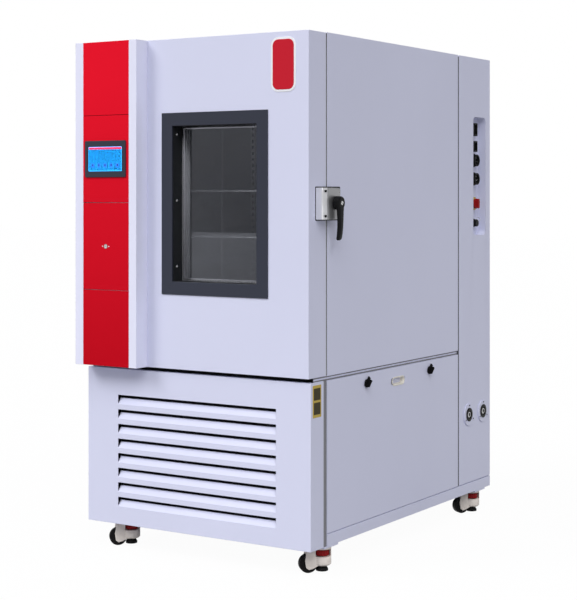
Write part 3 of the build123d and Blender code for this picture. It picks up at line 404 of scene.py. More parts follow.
def node_tree(name, inputs):
    """A geometry node tree with named inputs."""
    tree = bpy.data.node_groups.new(name, "GeometryNodeTree")
    tree.interface.new_socket(name="Geometry", in_out="INPUT", socket_type="NodeSocketGeometry")
    for label, kind in inputs:
        tree.interface.new_socket(name=label, in_out="INPUT", socket_type=kind)
    tree.interface.new_socket(name="Geometry", in_out="OUTPUT", socket_type="NodeSocketGeometry")
    return tree, tree.nodes.new("NodeGroupInput").outputs, tree.nodes.new("NodeGroupOutput")


def close_tree(tree, given, leave, geometry):
    """Realize the copies and give them their finish."""
    real = add_node(tree, "GeometryNodeRealizeInstances", {"Geometry": geometry})
    coated = add_node(tree, "GeometryNodeSetMaterial", {
        "Geometry": real.outputs["Geometry"], "Material": given["Finish"]})
    set_inputs(tree, leave, {"Geometry": coated.outputs["Geometry"]})
    return tree


def copies_tree():
    """Copies of one small piece on every point, each turned by its own angle."""
    name = "Copies On Points"
    if name in bpy.data.node_groups:
        return bpy.data.node_groups[name]
    tree, given, leave = node_tree(name, [
        ("Piece", "NodeSocketObject"), ("Turn", "NodeSocketVector"),
        ("Spin", "NodeSocketFloat"), ("Seed", "NodeSocketInt"), ("Finish", "NodeSocketMaterial")])
    info = add_node(tree, "GeometryNodeObjectInfo", {"Object": given["Piece"]})
    spin = add_node(tree, "FunctionNodeRandomValue", {
        "Min": 0.0, "Max": given["Spin"], "Seed": given["Seed"]})
    axis = add_node(tree, "ShaderNodeCombineXYZ", {"Z": spin.outputs[1]})
    put = add_node(tree, "GeometryNodeInstanceOnPoints", {
        "Points": given["Geometry"], "Instance": info.outputs["Geometry"], "Rotation": given["Turn"]})
    turn = add_node(tree, "GeometryNodeRotateInstances", {
        "Instances": put.outputs["Instances"], "Rotation": axis.outputs["Vector"]})
    return close_tree(tree, given, leave, turn.outputs["Instances"])


def ring_tree():
    """Ribs spread evenly round a circle in the piece's own xy plane."""
    name = "Ribs On Ring"
    if name in bpy.data.node_groups:
        return bpy.data.node_groups[name]
    tree, given, leave = node_tree(name, [
        ("Count", "NodeSocketInt"), ("Ring Radius", "NodeSocketFloat"),
        ("Rib Size", "NodeSocketVector"), ("Finish", "NodeSocketMaterial")])
    circle = add_node(tree, "GeometryNodeMeshCircle", {
        "Vertices": given["Count"], "Radius": given["Ring Radius"]})
    rib = add_node(tree, "GeometryNodeMeshCube", {"Size": given["Rib Size"]})
    place = tree.nodes.new("GeometryNodeInputPosition")
    align = add_node(tree, "FunctionNodeAlignRotationToVector", axis="X")
    set_inputs(tree, align, {"Vector": place.outputs["Position"]})
    put = add_node(tree, "GeometryNodeInstanceOnPoints", {
        "Points": circle.outputs["Mesh"], "Instance": rib.outputs["Mesh"],
        "Rotation": align.outputs["Rotation"]})
    return close_tree(tree, given, leave, put.outputs["Instances"])


def stack_tree():
    """A straight row of equal plates, bars or beads."""
    name = "Row Of Bars"
    if name in bpy.data.node_groups:
        return bpy.data.node_groups[name]
    tree, given, leave = node_tree(name, [
        ("Count", "NodeSocketInt"), ("Start", "NodeSocketVector"), ("Step", "NodeSocketVector"),
        ("Bar Size", "NodeSocketVector"), ("Finish", "NodeSocketMaterial")])
    line = add_node(tree, "GeometryNodeMeshLine", {
        "Count": given["Count"], "Start Location": given["Start"], "Offset": given["Step"]})
    bar = add_node(tree, "GeometryNodeMeshCube", {"Size": given["Bar Size"]})
    put = add_node(tree, "GeometryNodeInstanceOnPoints", {
        "Points": line.outputs["Mesh"], "Instance": bar.outputs["Mesh"]})
    return close_tree(tree, given, leave, put.outputs["Instances"])


def grow(name, tree, values, points=()):
    """Runs a node tree on some points and keeps the result as a plain mesh."""
    mesh = bpy.data.meshes.new(name)
    mesh.from_pydata([tuple(point) for point in points], [], [])
    piece = link_object(name, mesh)
    modifier = piece.modifiers.new("Nodes", "NODES")
    modifier.node_group = tree
    identifiers = {item.name: item.identifier for item in tree.interface.items_tree
                   if item.in_out == "INPUT"}
    for label, value in values.items():
        modifier[identifiers[label]] = value
    freeze(piece)
    return piece


def freeze(piece):
    """Turns a piece with modifiers into one plain mesh."""
    graph = bpy.context.evaluated_depsgraph_get()
    graph.update()
    mesh = bpy.data.meshes.new_from_object(piece.evaluated_get(graph), depsgraph=graph)
    piece.modifiers.clear()
    old = piece.data
    piece.data = mesh
    mesh.name = piece.name
    bpy.data.meshes.remove(old)


# Mesh helpers


def link_object(name, data):
    """A new object in the scene."""
    piece = bpy.data.objects.new(name, data)
    bpy.context.collection.objects.link(piece)
    return piece


def remove_piece(piece):
    """Takes away a helper piece and its mesh."""
    old = piece.data
    bpy.data.objects.remove(piece)
    bpy.data.meshes.remove(old)


def coat_mesh(mesh, material):
    """Gives a mesh one finish."""
    mesh.materials.clear()
    mesh.materials.append(finish(material))


def keep(piece, material, body, nodes=()):
    """Gives a piece its finish, its body and the nodes it stands for."""
    coat_mesh(piece.data, material)
    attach(piece, body)
    if nodes:
        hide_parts(*nodes)
    return piece


def smooth(mesh, angle=32.0):
    """Smooth shading with sharp edges above an angle."""
    mesh.shade_smooth()
    mesh.set_sharp_from_angle(angle=math.radians(angle))


def link_mesh(name, builder, recalculate=True):
    """Links a new object made from a bmesh."""
    bmesh.ops.remove_doubles(builder, verts=builder.verts, dist=1e-6)
    if recalculate:
        bmesh.ops.recalc_face_normals(builder, faces=builder.faces)
    mesh = bpy.data.meshes.new(name)
    builder.to_mesh(mesh)
    builder.free()
    return link_object(name, mesh)


def islands(builder):
    """Connected groups of a bmesh's vertices."""
    left = set(builder.verts)
    groups = []
    while left:
        stack = [left.pop()]
        group = set(stack)
        while stack:
            vertex = stack.pop()
            for edge in vertex.link_edges:
                other = edge.other_vert(vertex)
                if other in left:
                    left.discard(other)
                    group.add(other)
                    stack.append(other)
        groups.append(group)
    return groups


def flat_region(face, taken):
    """The faces that lie in one plane with a face and touch it."""
    region = [face]
    taken.add(face)
    for member in region:
        for edge in member.edges:
            for other in edge.link_faces:
                if other not in taken and other.normal.dot(face.normal) > 0.99998:
                    taken.add(other)
                    region.append(other)
    return region


def outline_count(region):
    """How many closed outlines a flat region has."""
    members = set(region)
    rim = {edge for face in region for edge in face.edges
           if sum(other in members for other in edge.link_faces) == 1}
    count = 0
    while rim:
        count += 1
        stack = [rim.pop()]
        while stack:
            for vertex in stack.pop().verts:
                for edge in vertex.link_edges:
                    if edge in rim:
                        rim.discard(edge)
                        stack.append(edge)
    return count


def merge_flats(builder):
    """Joins the triangles of each flat face that has no hole."""
    taken = set()
    seams = []
    builder.normal_update()
    regions = [flat_region(face, taken) for face in builder.faces if face not in taken]
    for region in regions:
        if len(region) > 1 and outline_count(region) == 1:
            members = set(region)
            seams += [edge for edge in {edge for member in region for edge in member.edges}
                      if all(other in members for other in edge.link_faces)]
    bmesh.ops.dissolve_edges(builder, edges=seams, use_verts=False, use_face_split=False)


def squared(normal):
    """A normal, exactly along its axis where it almost is."""
    snapped = Vector([round(value) for value in normal])
    return snapped if normal.dot(snapped) > 0.9998 else normal.copy()


def flat_normals(piece, strong):
    """Keeps the large flat faces flat and lets the rounded edges run into them."""
    mesh = piece.data
    near = {}
    for face in mesh.polygons:
        if face.index in strong:
            for vertex in face.vertices:
                near.setdefault(vertex, []).append(squared(face.normal))
    mesh.shade_smooth()
    corners = [Vector(item.vector) for item in mesh.corner_normals]
    for face in mesh.polygons:
        for corner_index in face.loop_indices:
            if face.index in strong:
                corners[corner_index] = squared(face.normal)
                continue
            choices = near.get(mesh.loops[corner_index].vertex_index)
            if choices:
                best = max(choices, key=face.normal.dot)
                if best.dot(face.normal) > 0.3:
                    corners[corner_index] = best.copy()
    mesh.normals_split_custom_set([tuple(normal) for normal in corners])


def softened(node, name, width, wanted=None, angle=40.0):
    """A copy of a node's solids with rounded edges; wanted chooses solids by their box."""
    builder = bmesh.new()
    builder.from_mesh(frame["nodes"][node].data)
    bmesh.ops.remove_doubles(builder, verts=builder.verts, dist=2e-6)
    if wanted:
        for group in islands(builder):
            low = Vector([min(vertex.co[axis] for vertex in group) for axis in range(3)])
            high = Vector([max(vertex.co[axis] for vertex in group) for axis in range(3)])
            if not wanted(low, high):
                bmesh.ops.delete(builder, geom=list(group), context="VERTS")
    merge_flats(builder)
    for face in builder.faces:
        face.material_index = 1
    piece = link_mesh(name, builder, recalculate=False)
    if width:
        for material in ("edge", "face"):
            piece.data.materials.append(bpy.data.materials.get("softening_" + material)
                                        or bpy.data.materials.new("softening_" + material))
        bevel = piece.modifiers.new("Rounded edges", "BEVEL")
        bevel.width = width
        bevel.segments = 2
        bevel.limit_method = "ANGLE"
        bevel.angle_limit = math.radians(angle)
        bevel.use_clamp_overlap = False
        bevel.miter_outer = "MITER_ARC"
        bevel.material = 0
        freeze(piece)
        strong = flat_faces(piece.data)
        flat_normals(piece, strong)
        for face in piece.data.polygons:
            face.material_index = 0
    else:
        smooth(piece.data)
    return piece


def flat_faces(mesh):
    """Faces left from the solid that lie in a flat region, not on a curved one."""
    builder = bmesh.new()
    builder.from_mesh(mesh)
    builder.faces.ensure_lookup_table()
    flat = set()
    for face in builder.faces:
        if face.material_index != 1:
            continue
        bends = [face.normal.angle(other.normal) for edge in face.edges for other in edge.link_faces
                 if other is not face and other.material_index == 1]
        square = max(abs(value) for value in face.normal) > 0.9998
        large = square and max(edge.calc_length() for edge in face.edges) > 0.1
        if large or all(bend < 0.03 or bend > 0.6 for bend in bends):
            flat.add(face.index)
    builder.free()
    return flat


def dress(node, material, body, width, wanted=None, name=None):
    """Replaces a node by its rounded copy."""
    piece = softened(node, name or node + "_finish", width, wanted)
    return keep(piece, material, body, [node])


def coat(node, material):
    """Gives a CAD node its finish and leaves its shape."""
    coat_mesh(frame["nodes"][node].data, material)


def rounded_outline(width, height, radius, steps=6):
    """Points of a rounded rectangle about its middle."""
    radius = min(radius, width / 2 - 1e-6, height / 2 - 1e-6)
    points = []
    for index, (sx, sy) in enumerate(((1, 1), (-1, 1), (-1, -1), (1, -1))):
        for step in range(steps + 1):
            turn = math.pi / 2 * (index + step / steps)
            points.append((sx * (width / 2 - radius) + radius * math.cos(turn),
                           sy * (height / 2 - radius) + radius * math.sin(turn)))
    return points


def loft(builder, rings, caps=True):
    """Skins a row of equal rings."""
    rows = [[builder.verts.new(point) for point in ring] for ring in rings]
    count = len(rows[0])
    for first, second in zip(rows, rows[1:]):
        for index in range(count):
            following = (index + 1) % count
            builder.faces.new((first[index], first[following], second[following], second[index]))
    if caps:
        builder.faces.new(list(reversed(rows[0])))
        builder.faces.new(rows[-1])


def plate_rings(place, axes, width, height, radius, levels):
    """Rings of a rounded plate; levels are (inset, height above the place)."""
    across, upward, outward = axes
    rings = []
    for inset, rise in levels:
        outline = rounded_outline(width - 2 * inset, height - 2 * inset, max(radius - inset, 2e-4))
        rings.append([place + across * u + upward * v + outward * rise for u, v in outline])
    return rings


def plate(name, place, axes, width, height, radius, levels, material, body, slot, nodes=()):
    """A kept rounded plate with its profile given by levels."""
    builder = bmesh.new()
    loft(builder, plate_rings(place, axes, width, height, radius, levels))
    piece = link_mesh(name, builder)
    smooth(piece.data, 28.0)
    return keep(piece, material, body, nodes)


def square_ring(name, middle, width, height, levels, material, body, nodes=()):
    """A kept bar round an upright rectangle; levels are the bar's corners as (inset, y)."""
    rings = [[Vector((middle.x + sx * (width / 2 - inset), y, middle.z + sz * (height / 2 - inset)))
              for sx, sz in SQUARE] for inset, y in levels]
    builder = bmesh.new()
    loft(builder, rings + rings[:1], caps=False)
    return keep(link_mesh(name, builder), material, body, nodes)


def turned(name, place, axis, profile, segments=40):
    """A turned piece: profile points are (radius, distance along the axis)."""
    axis = axis.normalized()
    side = axis.orthogonal().normalized()
    other = axis.cross(side)
    spokes = [side * math.cos(turn) + other * math.sin(turn)
              for turn in (2 * math.pi * step / segments for step in range(segments))]
    builder = bmesh.new()
    loft(builder, [[place + axis * distance + spoke * radius for spoke in spokes]
                   for radius, distance in profile])
    piece = link_mesh(name, builder)
    smooth(piece.data, 30.0)
    return piece


def wire_loop(name, place, outward, radius, wire, steps=28, sides=8):
    """A closed ring of round wire."""
    normal = outward.normalized()
    across = normal.orthogonal().normalized()
    upward = normal.cross(across)
    builder = bmesh.new()
    rings = []
    for step in range(steps):
        turn = 2 * math.pi * step / steps
        spoke = across * math.cos(turn) + upward * math.sin(turn)
        rings.append([place + spoke * (radius + wire * math.cos(around)) + normal * wire * math.sin(around)
                      for around in (2 * math.pi * side / sides for side in range(sides))])
    loft(builder, rings + rings[:1], caps=False)
    piece = link_mesh(name, builder)
    smooth(piece.data, 60.0)
    return piece


def join(name, pieces):
    """Joins plain pieces into one."""
    builder = bmesh.new()
    for piece in pieces:
        builder.from_mesh(piece.data)
        remove_piece(piece)
    mesh = bpy.data.meshes.new(name)
    builder.to_mesh(mesh)
    builder.free()
    whole = link_object(name, mesh)
    smooth(mesh, 30.0)
    return whole


def screw_head(name, radius, hex_socket):
    """A small screw head along +z, with a hexagon socket or a cross slot."""
    builder = bmesh.new()
    sides = 24
    height = radius * (1.1 if hex_socket else 0.45)
    inner = radius * 0.5
    depth = height * 0.55
    corners = 6 if hex_socket else 4
    profile = [(radius, 0.0), (radius, height * 0.7), (radius * 0.82, height)]

    def ring(size, rise, polygon):
        points = []
        for step in range(sides):
            turn = 2 * math.pi * step / sides
            reach = size
            if polygon:
                part = 2 * math.pi / corners
                reach = size * math.cos(part / 2) / math.cos((turn % part) - part / 2)
            points.append(Vector((reach * math.cos(turn), reach * math.sin(turn), rise)))
        return points

    rings = [ring(size, rise, False) for size, rise in profile]
    rings += [ring(inner, height, True), ring(inner, height - depth, True)]
    loft(builder, rings)
    piece = link_mesh(name, builder)
    smooth(piece.data, 30.0)
    piece.hide_render = True
    return piece


def screws(name, points, outward, body, material, radius=None, hex_socket=False, seed=1):
    """A group of screw heads on points, with their heads along outward."""
    material = finish(material)
    head = screw_head(name + "_head", radius or sizes().screw_head, hex_socket)
    turn = outward.to_track_quat("Z", "Y").to_euler()
    piece = grow(name, copies_tree(), {"Piece": head, "Turn": tuple(turn), "Spin": 1.4, "Seed": seed,
                                       "Finish": material}, points)
    remove_piece(head)
    smooth(piece.data, 30.0)
    return keep(piece, material, body)


# Operators


class CHAMBER_OT_panels(bpy.types.Operator):
    """Rounds the folded sheet panels and coats them"""

    bl_idname = "chamber.panels"
    bl_label = "Painted panels"

    def execute(self, context):
        fold = sizes().fold
        for node in ("front_louvre_panel", "left_lower_panel", "right_side_panel", "left_side_panel",
                     "top_panel", "rear_left_panel", "rear_right_panel", "rear_back_panel"):
            dress(node, "paint", "cabinet", fold)
        dress("door_skin", "paint", "door", fold)
        dress("column_housing", "column_paint", "door", fold)
        dress("access_panel", "paint", "access_panel", 0,
              lambda low, high: high.z - low.z > 0.1)
        dress("base_frame", "paint", "cabinet", fold * 0.6)
        # The deck and the bulkhead show only in the grooves; their grey is painted shade.
        for node in ("deck_plate", "rear_bulkhead"):
            coat(node, "groove_coat")
        self.grooves()
        self.deck_seal()
        self.door_edge_seal()
        self.rear_groove_seals()
        self.louvre_filter()
        self.louvre_felts()
        self.deck_trims()
        self.panel_screws()
        return {"FINISHED"}

    def grooves(self):
        """Grey sheets that show in the upright grooves at the front corners: painted shade of the grooves."""
        low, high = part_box("front_louvre_panel")
        rear = corner("right_side_panel", 0).y
        depth = 0.004
        for side, axes in ((high.x, RIGHT), (low.x, LEFT)):
            sign = 1 if side > 0 else -1
            middle = Vector((side - sign * 0.0058, (high.y + rear) / 2, (low.z + high.z) / 2))
            plate("corner_groove_" + ("right" if sign > 0 else "left"), middle, axes, rear - high.y,
                  high.z - low.z, 0.001, [(0, 0), (0, depth * 0.6), (0.0008, depth * 0.75)], "groove_coat",
                  "cabinet", "groove_grey")

    def deck_seal(self):
        """Black sealing strip on the deck's front edge, under the door; its near black also paints the deep shade
        in the gap under the door.
        """
        low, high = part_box("deck_plate")
        middle = Vector(((low.x + high.x) / 2, low.y, (low.z + high.z) / 2))
        plate("deck_seal", middle, FRONT, high.x - low.x, high.z - low.z, 0.001,
              [(0, 0), (0, 0.001), (0.0005, 0.0015)], "gap_black", "cabinet", "tyre_rubber")

    def door_edge_seal(self):
        """Grey seal round the door's rear edge; it fills the gap to the cabinet's front."""
        low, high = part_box("door_skin")
        front = corner("door_liner", 0).y + 0.0021
        rear = corner("right_side_panel", 0).y - 0.0006
        outer, inner = 0.0015, 0.012
        square_ring("door_edge_seal", (low + high) / 2, high.x - low.x, high.z - low.z,
                    [(outer, front), (outer, rear), (inner, rear), (inner, front)],
                    "seal_grey", "door")

    def rear_groove_seals(self):
        """Grey profiles in the upright grooves in front of the rear compartment; their grey is painted shade of
        the grooves.
        """
        low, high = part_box("rear_bulkhead")
        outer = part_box("right_side_panel")
        for side, axes in ((outer[1].x, RIGHT), (corner("left_side_panel", 0).x, LEFT)):
            sign = 1 if side > 0 else -1
            depth = abs(side - (high.x if sign > 0 else low.x))
            middle = Vector((side - sign * depth, (low.y + high.y) / 2, (low.z + high.z) / 2))
            name = "rear_groove_seal_" + ("right" if sign > 0 else "left")
            plate(name, middle, axes, high.y - low.y - 0.0004, high.z - low.z, 0.001,
                  [(0, 0.0002), (0, depth - 0.0016), (0.0012, depth - 0.0008)], "seal_grey", "cabinet",
                  "tyre_rubber")

    def louvre_filter(self):
        """Black sheet behind the louvres: painted shade that darkens the slits."""
        low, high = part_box("front_louvre_panel")
        middle = Vector(((low.x + high.x) / 2, low.y + 0.034, (low.z + high.z) / 2))
        plate("louvre_filter", middle, FRONT, (high.x - low.x) * 0.9, (high.z - low.z) * 0.84, 0.004,
              [(0, 0), (0, 0.004), (0.001, 0.005)], "gap_black", "cabinet", "tyre_rubber")

    def louvre_felts(self):
        """Black strip on the upper part of each louvre's sloping face: painted shade of the slit above each blade.
        """
        low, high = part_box("front_louvre_panel")

        def at_slot(place):
            return abs(place.y - low.y) < 1e-5 and low.x + 0.05 < place.x < high.x - 0.05

        levels = levels_of("front_louvre_panel", 2, 4, at_slot)
        left, *_, right = levels_of("front_louvre_panel", 0, 7, at_slot)
        # felt is the height of each strip of painted shade.
        recess, felt = 0.024, 0.0125
        for index, (bottom, top) in enumerate(zip(levels[0::2], levels[1::2])):
            rise = top - bottom
            slope = Vector((0, recess, rise)).normalized()
            axes = (Vector((1, 0, 0)), slope, Vector((0, -slope.z, slope.y)))
            middle = Vector(((left + right) / 2, low.y + recess * (1 - felt / 2 / rise), top - felt / 2))
            plate("louvre_felt_%d" % (index + 1), middle, axes, right - left - 0.002, felt / slope.z, 0.0004,
                  [(0, 0), (0, 0.0005)], "gap_black", "cabinet", "tyre_rubber")

    def deck_trims(self):
        """Painted trim along the middle of the deck's two side edges."""
        low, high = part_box("deck_plate")
        middle = (low + high) / 2
        for x, axes, side in ((high.x, RIGHT, "right"), (low.x, LEFT, "left")):
            plate("deck_trim_" + side, Vector((x, middle.y, middle.z)), axes, high.y - low.y - 0.004,
                  (high.z - low.z) * 0.36, 0.0004, [(0, 0), (0, 0.0004), (0.0004, 0.0008)], "paint",
                  "cabinet", "body_paint")

    def panel_screws(self):
        """Screws round the back cover and the left panels."""
        low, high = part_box("rear_back_panel")
        inset = 0.018
        points = []
        for step in range(9):
            z = low.z + inset + (high.z - low.z - 2 * inset) * step / 8
            points += [(x, high.y, z) for x in (low.x + inset, high.x - inset)]
        for step in range(1, 5):
            x = low.x + inset + (high.x - low.x - 2 * inset) * step / 5
            points += [(x, high.y, low.z + inset), (x, high.y, high.z - inset)]
        screws("back_cover_screws", points, BACK[2], "cabinet", "chrome", seed=3)
        points = []
        for node in ("left_side_panel", "left_lower_panel"):
            low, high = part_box(node)
            for y in (low.y + inset, (low.y + high.y) / 2, high.y - inset):
                points += [(low.x, y, low.z + inset), (low.x, y, high.z - inset)]
        screws("left_panel_screws", points, LEFT[2], "cabinet", "chrome", seed=4)


class CHAMBER_OT_fascia(bpy.types.Operator):
    """Red fascia panels, the hinged flap with its lock, and the plain plate on the door"""

    bl_idname = "chamber.fascia"
    bl_label = "Fascia"

    def execute(self, context):
        dress("fascia_panels", "fascia_coat", "door", 0.0008)
        dress("service_flap", "fascia_coat", "service_flap", 0.0008)
        dress("flap_lock", "chrome", "flap_lock", 0.0003)
        low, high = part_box("service_flap")
        face = Vector((centre("flap_lock").x, low.y, (low.z + high.z) / 2))
        points = [(face.x - 0.015, face.y, face.z), (face.x + 0.015, face.y, face.z)]
        screws("flap_lock_screws", points, FRONT[2], "service_flap", "white_edge", radius=0.0022, seed=5)
        ring = turned("flap_lock_ring", face, FRONT[2],
                      [(0.0066, -0.0002), (0.0085, -0.0002), (0.0085, 0.0006), (0.0066, 0.0009)])
        keep(ring, "die_cast", "service_flap")
        self.seams()
        self.badge()
        return {"FINISHED"}

    def seams(self):
        """Black strips in the seams between the red panels: painted shade of the seams."""
        low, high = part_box("fascia_panels")
        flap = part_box("service_flap")
        levels = levels_of("fascia_panels", 2, 4, lambda place: low.z + 0.01 < place.z < high.z - 0.01)
        gaps = [(first, second) for first, second in zip(levels, levels[1:]) if second - first < 0.004]
        gaps += [(max(level for level in levels if level < flap[0].z), flap[0].z),
                 (flap[1].z, min(level for level in levels if level > flap[1].z))]
        for index, (bottom, top) in enumerate(gaps):
            middle = Vector(((low.x + high.x) / 2, high.y, (bottom + top) / 2))
            plate("fascia_seam_%d" % (index + 1), middle, FRONT, high.x - low.x - 0.002, top - bottom, 0.0002,
                  [(0, 0), (0, 0.0009)], "gap_black", "door", "black_plastic")

    def badge(self):
        """A plain red plate with a pale rim."""
        from_edge, above_floor = 0.104, 1.7978
        place = Vector((corner("door_skin", 1).x - from_edge, corner("door_skin", 0).y, above_floor))
        width = sizes().badge_width
        height = sizes().badge_height
        radius = 0.03
        plate("door_plate_rim", place, FRONT, width, height, radius, [(0, 0), (0, 0.0012), (0.0006, 0.0018)],
              "white_edge", "door", "body_paint")
        plate("door_plate", place + FRONT[2] * 0.0017, FRONT, width - 0.016, height - 0.016, radius - 0.008,
              [(0, 0), (0, 0.0008), (0.0008, 0.0014)], "plate_coat", "door", "fascia_red")


class CHAMBER_OT_operating_panel(bpy.types.Operator):
    """Touch screen: moulded bezel, lit display and plain tiles"""

    bl_idname = "chamber.operating_panel"
    bl_label = "Operating panel"

    def execute(self, context):
        low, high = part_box("touch_screen")
        dress("touch_screen", "frame_moulding", "door", 0.0012,
              lambda first, last: last.x - first.x > 0.17, "screen_bezel")
        width, height = 0.158, 0.090
        face = Vector(((low.x + high.x) / 2, low.y + 0.0014, (low.z + high.z) / 2))
        plate("screen_pane", face, FRONT, width, height, 0.002, [(0, -0.001), (0, 0.0002), (0.0004, 0.0004)],
              "lit_display", "door", "display")
        self.tile("screen_bar", face, (0, height / 2 - 0.005), (width - 0.002, 0.008), "lit_bar")
        for number in range(1, 6):
            across, foot, key, dot = (number - 3) * 0.0295, -height / 2, 0.016, 0.007
            self.tile("screen_key_%d" % number, face, (across, foot + 0.021), (key, key), "lit_key")
            self.tile("screen_dot_%d" % number, face, (across, foot + 0.022), (dot, dot), "lit_dot", 0.0012)
        return {"FINISHED"}

    def tile(self, name, face, place, size, material, rise=0.0007):
        """One flat tile on the display."""
        spot = face + FRONT[0] * place[0] + FRONT[1] * place[1] + FRONT[2] * 0.0003
        plate(name, spot, FRONT, size[0], size[1], 0.001, [(0, 0), (0, rise * 0.4)], material, "door",
              "display")


class CHAMBER_OT_window(bpy.types.Operator):
    """Window frame, panes, beaded spacers and reveal screws"""

    bl_idname = "chamber.window"
    bl_label = "Window"

    def execute(self, context):
        dress("window_frame", "frame_moulding", "door", sizes().moulding)
        self.panes()
        self.reveal()
        self.beads()
        return {"FINISHED"}

    def panes(self):
        """Four panes, with a metal spacer between each two."""
        low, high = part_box("window_glass")
        middle = (low + high) / 2
        faces = levels_of("window_glass", 1, 5)
        width, height = high.x - low.x, high.z - low.z
        for index, (front, rear) in enumerate(zip(faces[0::2], faces[1::2])):
            thick = rear - front
            edge = 0.0005
            pane = plate("window_pane_%d" % (index + 1), Vector((middle.x, rear, middle.z)), FRONT,
                         width, height, 0.0005, [(edge, 0), (0, edge), (0, thick - edge), (edge, thick)],
                         glass_material(index == 0), "door", "glazing", ["window_glass"])
            pane.visible_shadow = False
        outer, inner = levels_of("window_glass", 0, 5)[:2]
        bar = inner - outer
        for index, (front, rear) in enumerate(zip(faces[1::2], faces[2::2])):
            square_ring("window_spacer_%d" % (index + 1), middle, width, height,
                        [(0, front), (0, rear), (bar, rear), (bar, front)],
                        "spacer_metal", "door", ["window_glass"])

    def opening(self):
        """Left, right, bottom and top of the clear opening, front and rear of its frame."""
        low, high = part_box("window_frame")
        band = 0.048  # width of the frame round the opening
        return low.x + band, high.x - band, low.z + band, high.z - band, low.y, high.y

    def reveal(self):
        """Dark lining of the reveal, with its screws."""
        left, right, bottom, top, front, rear = self.opening()
        outer, inner, lip = -0.0005, 0.0012, front + 0.007
        middle = Vector(((left + right) / 2, front, (bottom + top) / 2))
        square_ring("window_reveal", middle, right - left, top - bottom,
                    [(outer, lip), (inner, lip), (inner, rear), (outer, rear)],
                    "dark_moulding", "door")
        depth = front + (rear - front) * 0.45
        for x, outward, name in ((left + inner, RIGHT[2], "left"), (right - inner, LEFT[2], "right")):
            points = [(x, depth, z) for z in (bottom + 0.055, middle.z + 0.012, top - 0.03)]
            screws("reveal_screws_" + name, points, outward, "door", "chrome", radius=0.0055, seed=7)

    def beads(self):
        """Bright spacer strip with a row of beads round the panes."""
        left, right, bottom, top, front, rear = self.opening()
        pitch = sizes().bead_pitch
        start = rear + 0.0052
        inset, wide, thick, long = 0.004, 0.0042, 0.0006, pitch * 0.42
        rows = [(top - bottom, (x, start, bottom + pitch), (0, 0, pitch), (wide, thick, long))
                for x in (left + inset, right - inset)]
        rows += [(right - left, (left + pitch, start, z), (pitch, 0, 0), (long, thick, wide))
                 for z in (bottom + inset, top - inset)]
        pieces = [grow("beads", stack_tree(), {
            "Count": int(length / pitch), "Start": first, "Step": step, "Bar Size": size,
            "Finish": finish("black_plastic")}) for length, first, step, size in rows]
        keep(join("spacer_beads", pieces), "black_plastic", "door")
        front, rear, width = start + 0.0006, start + 0.001, 0.0105
        square_ring("spacer_band", Vector(((left + right) / 2, front, (bottom + top) / 2)), right - left,
                    top - bottom, [(0, front), (width, front), (width, rear), (0, rear)],
                    "spacer_metal", "door")


# Sections of the lever's arm: share of its length, half width, thickness, lean, lift.
LEVER_SECTIONS = (
    (-0.04, 0.019, 0.012, 0.0, 0.0), (0.1, 0.0185, 0.015, 0.0, 0.0), (0.25, 0.0155, 0.016, 0.0, 0.0),
    (0.45, 0.0135, 0.0155, 0.001, 0.0), (0.65, 0.0125, 0.015, 0.0, 0.0),
    (0.82, 0.0125, 0.0145, -0.003, 0.001), (0.94, 0.012, 0.0135, -0.007, 0.0015),
    (0.985, 0.0095, 0.0105, -0.009, 0.003), (1.0, 0.005, 0.006, -0.0095, 0.005))


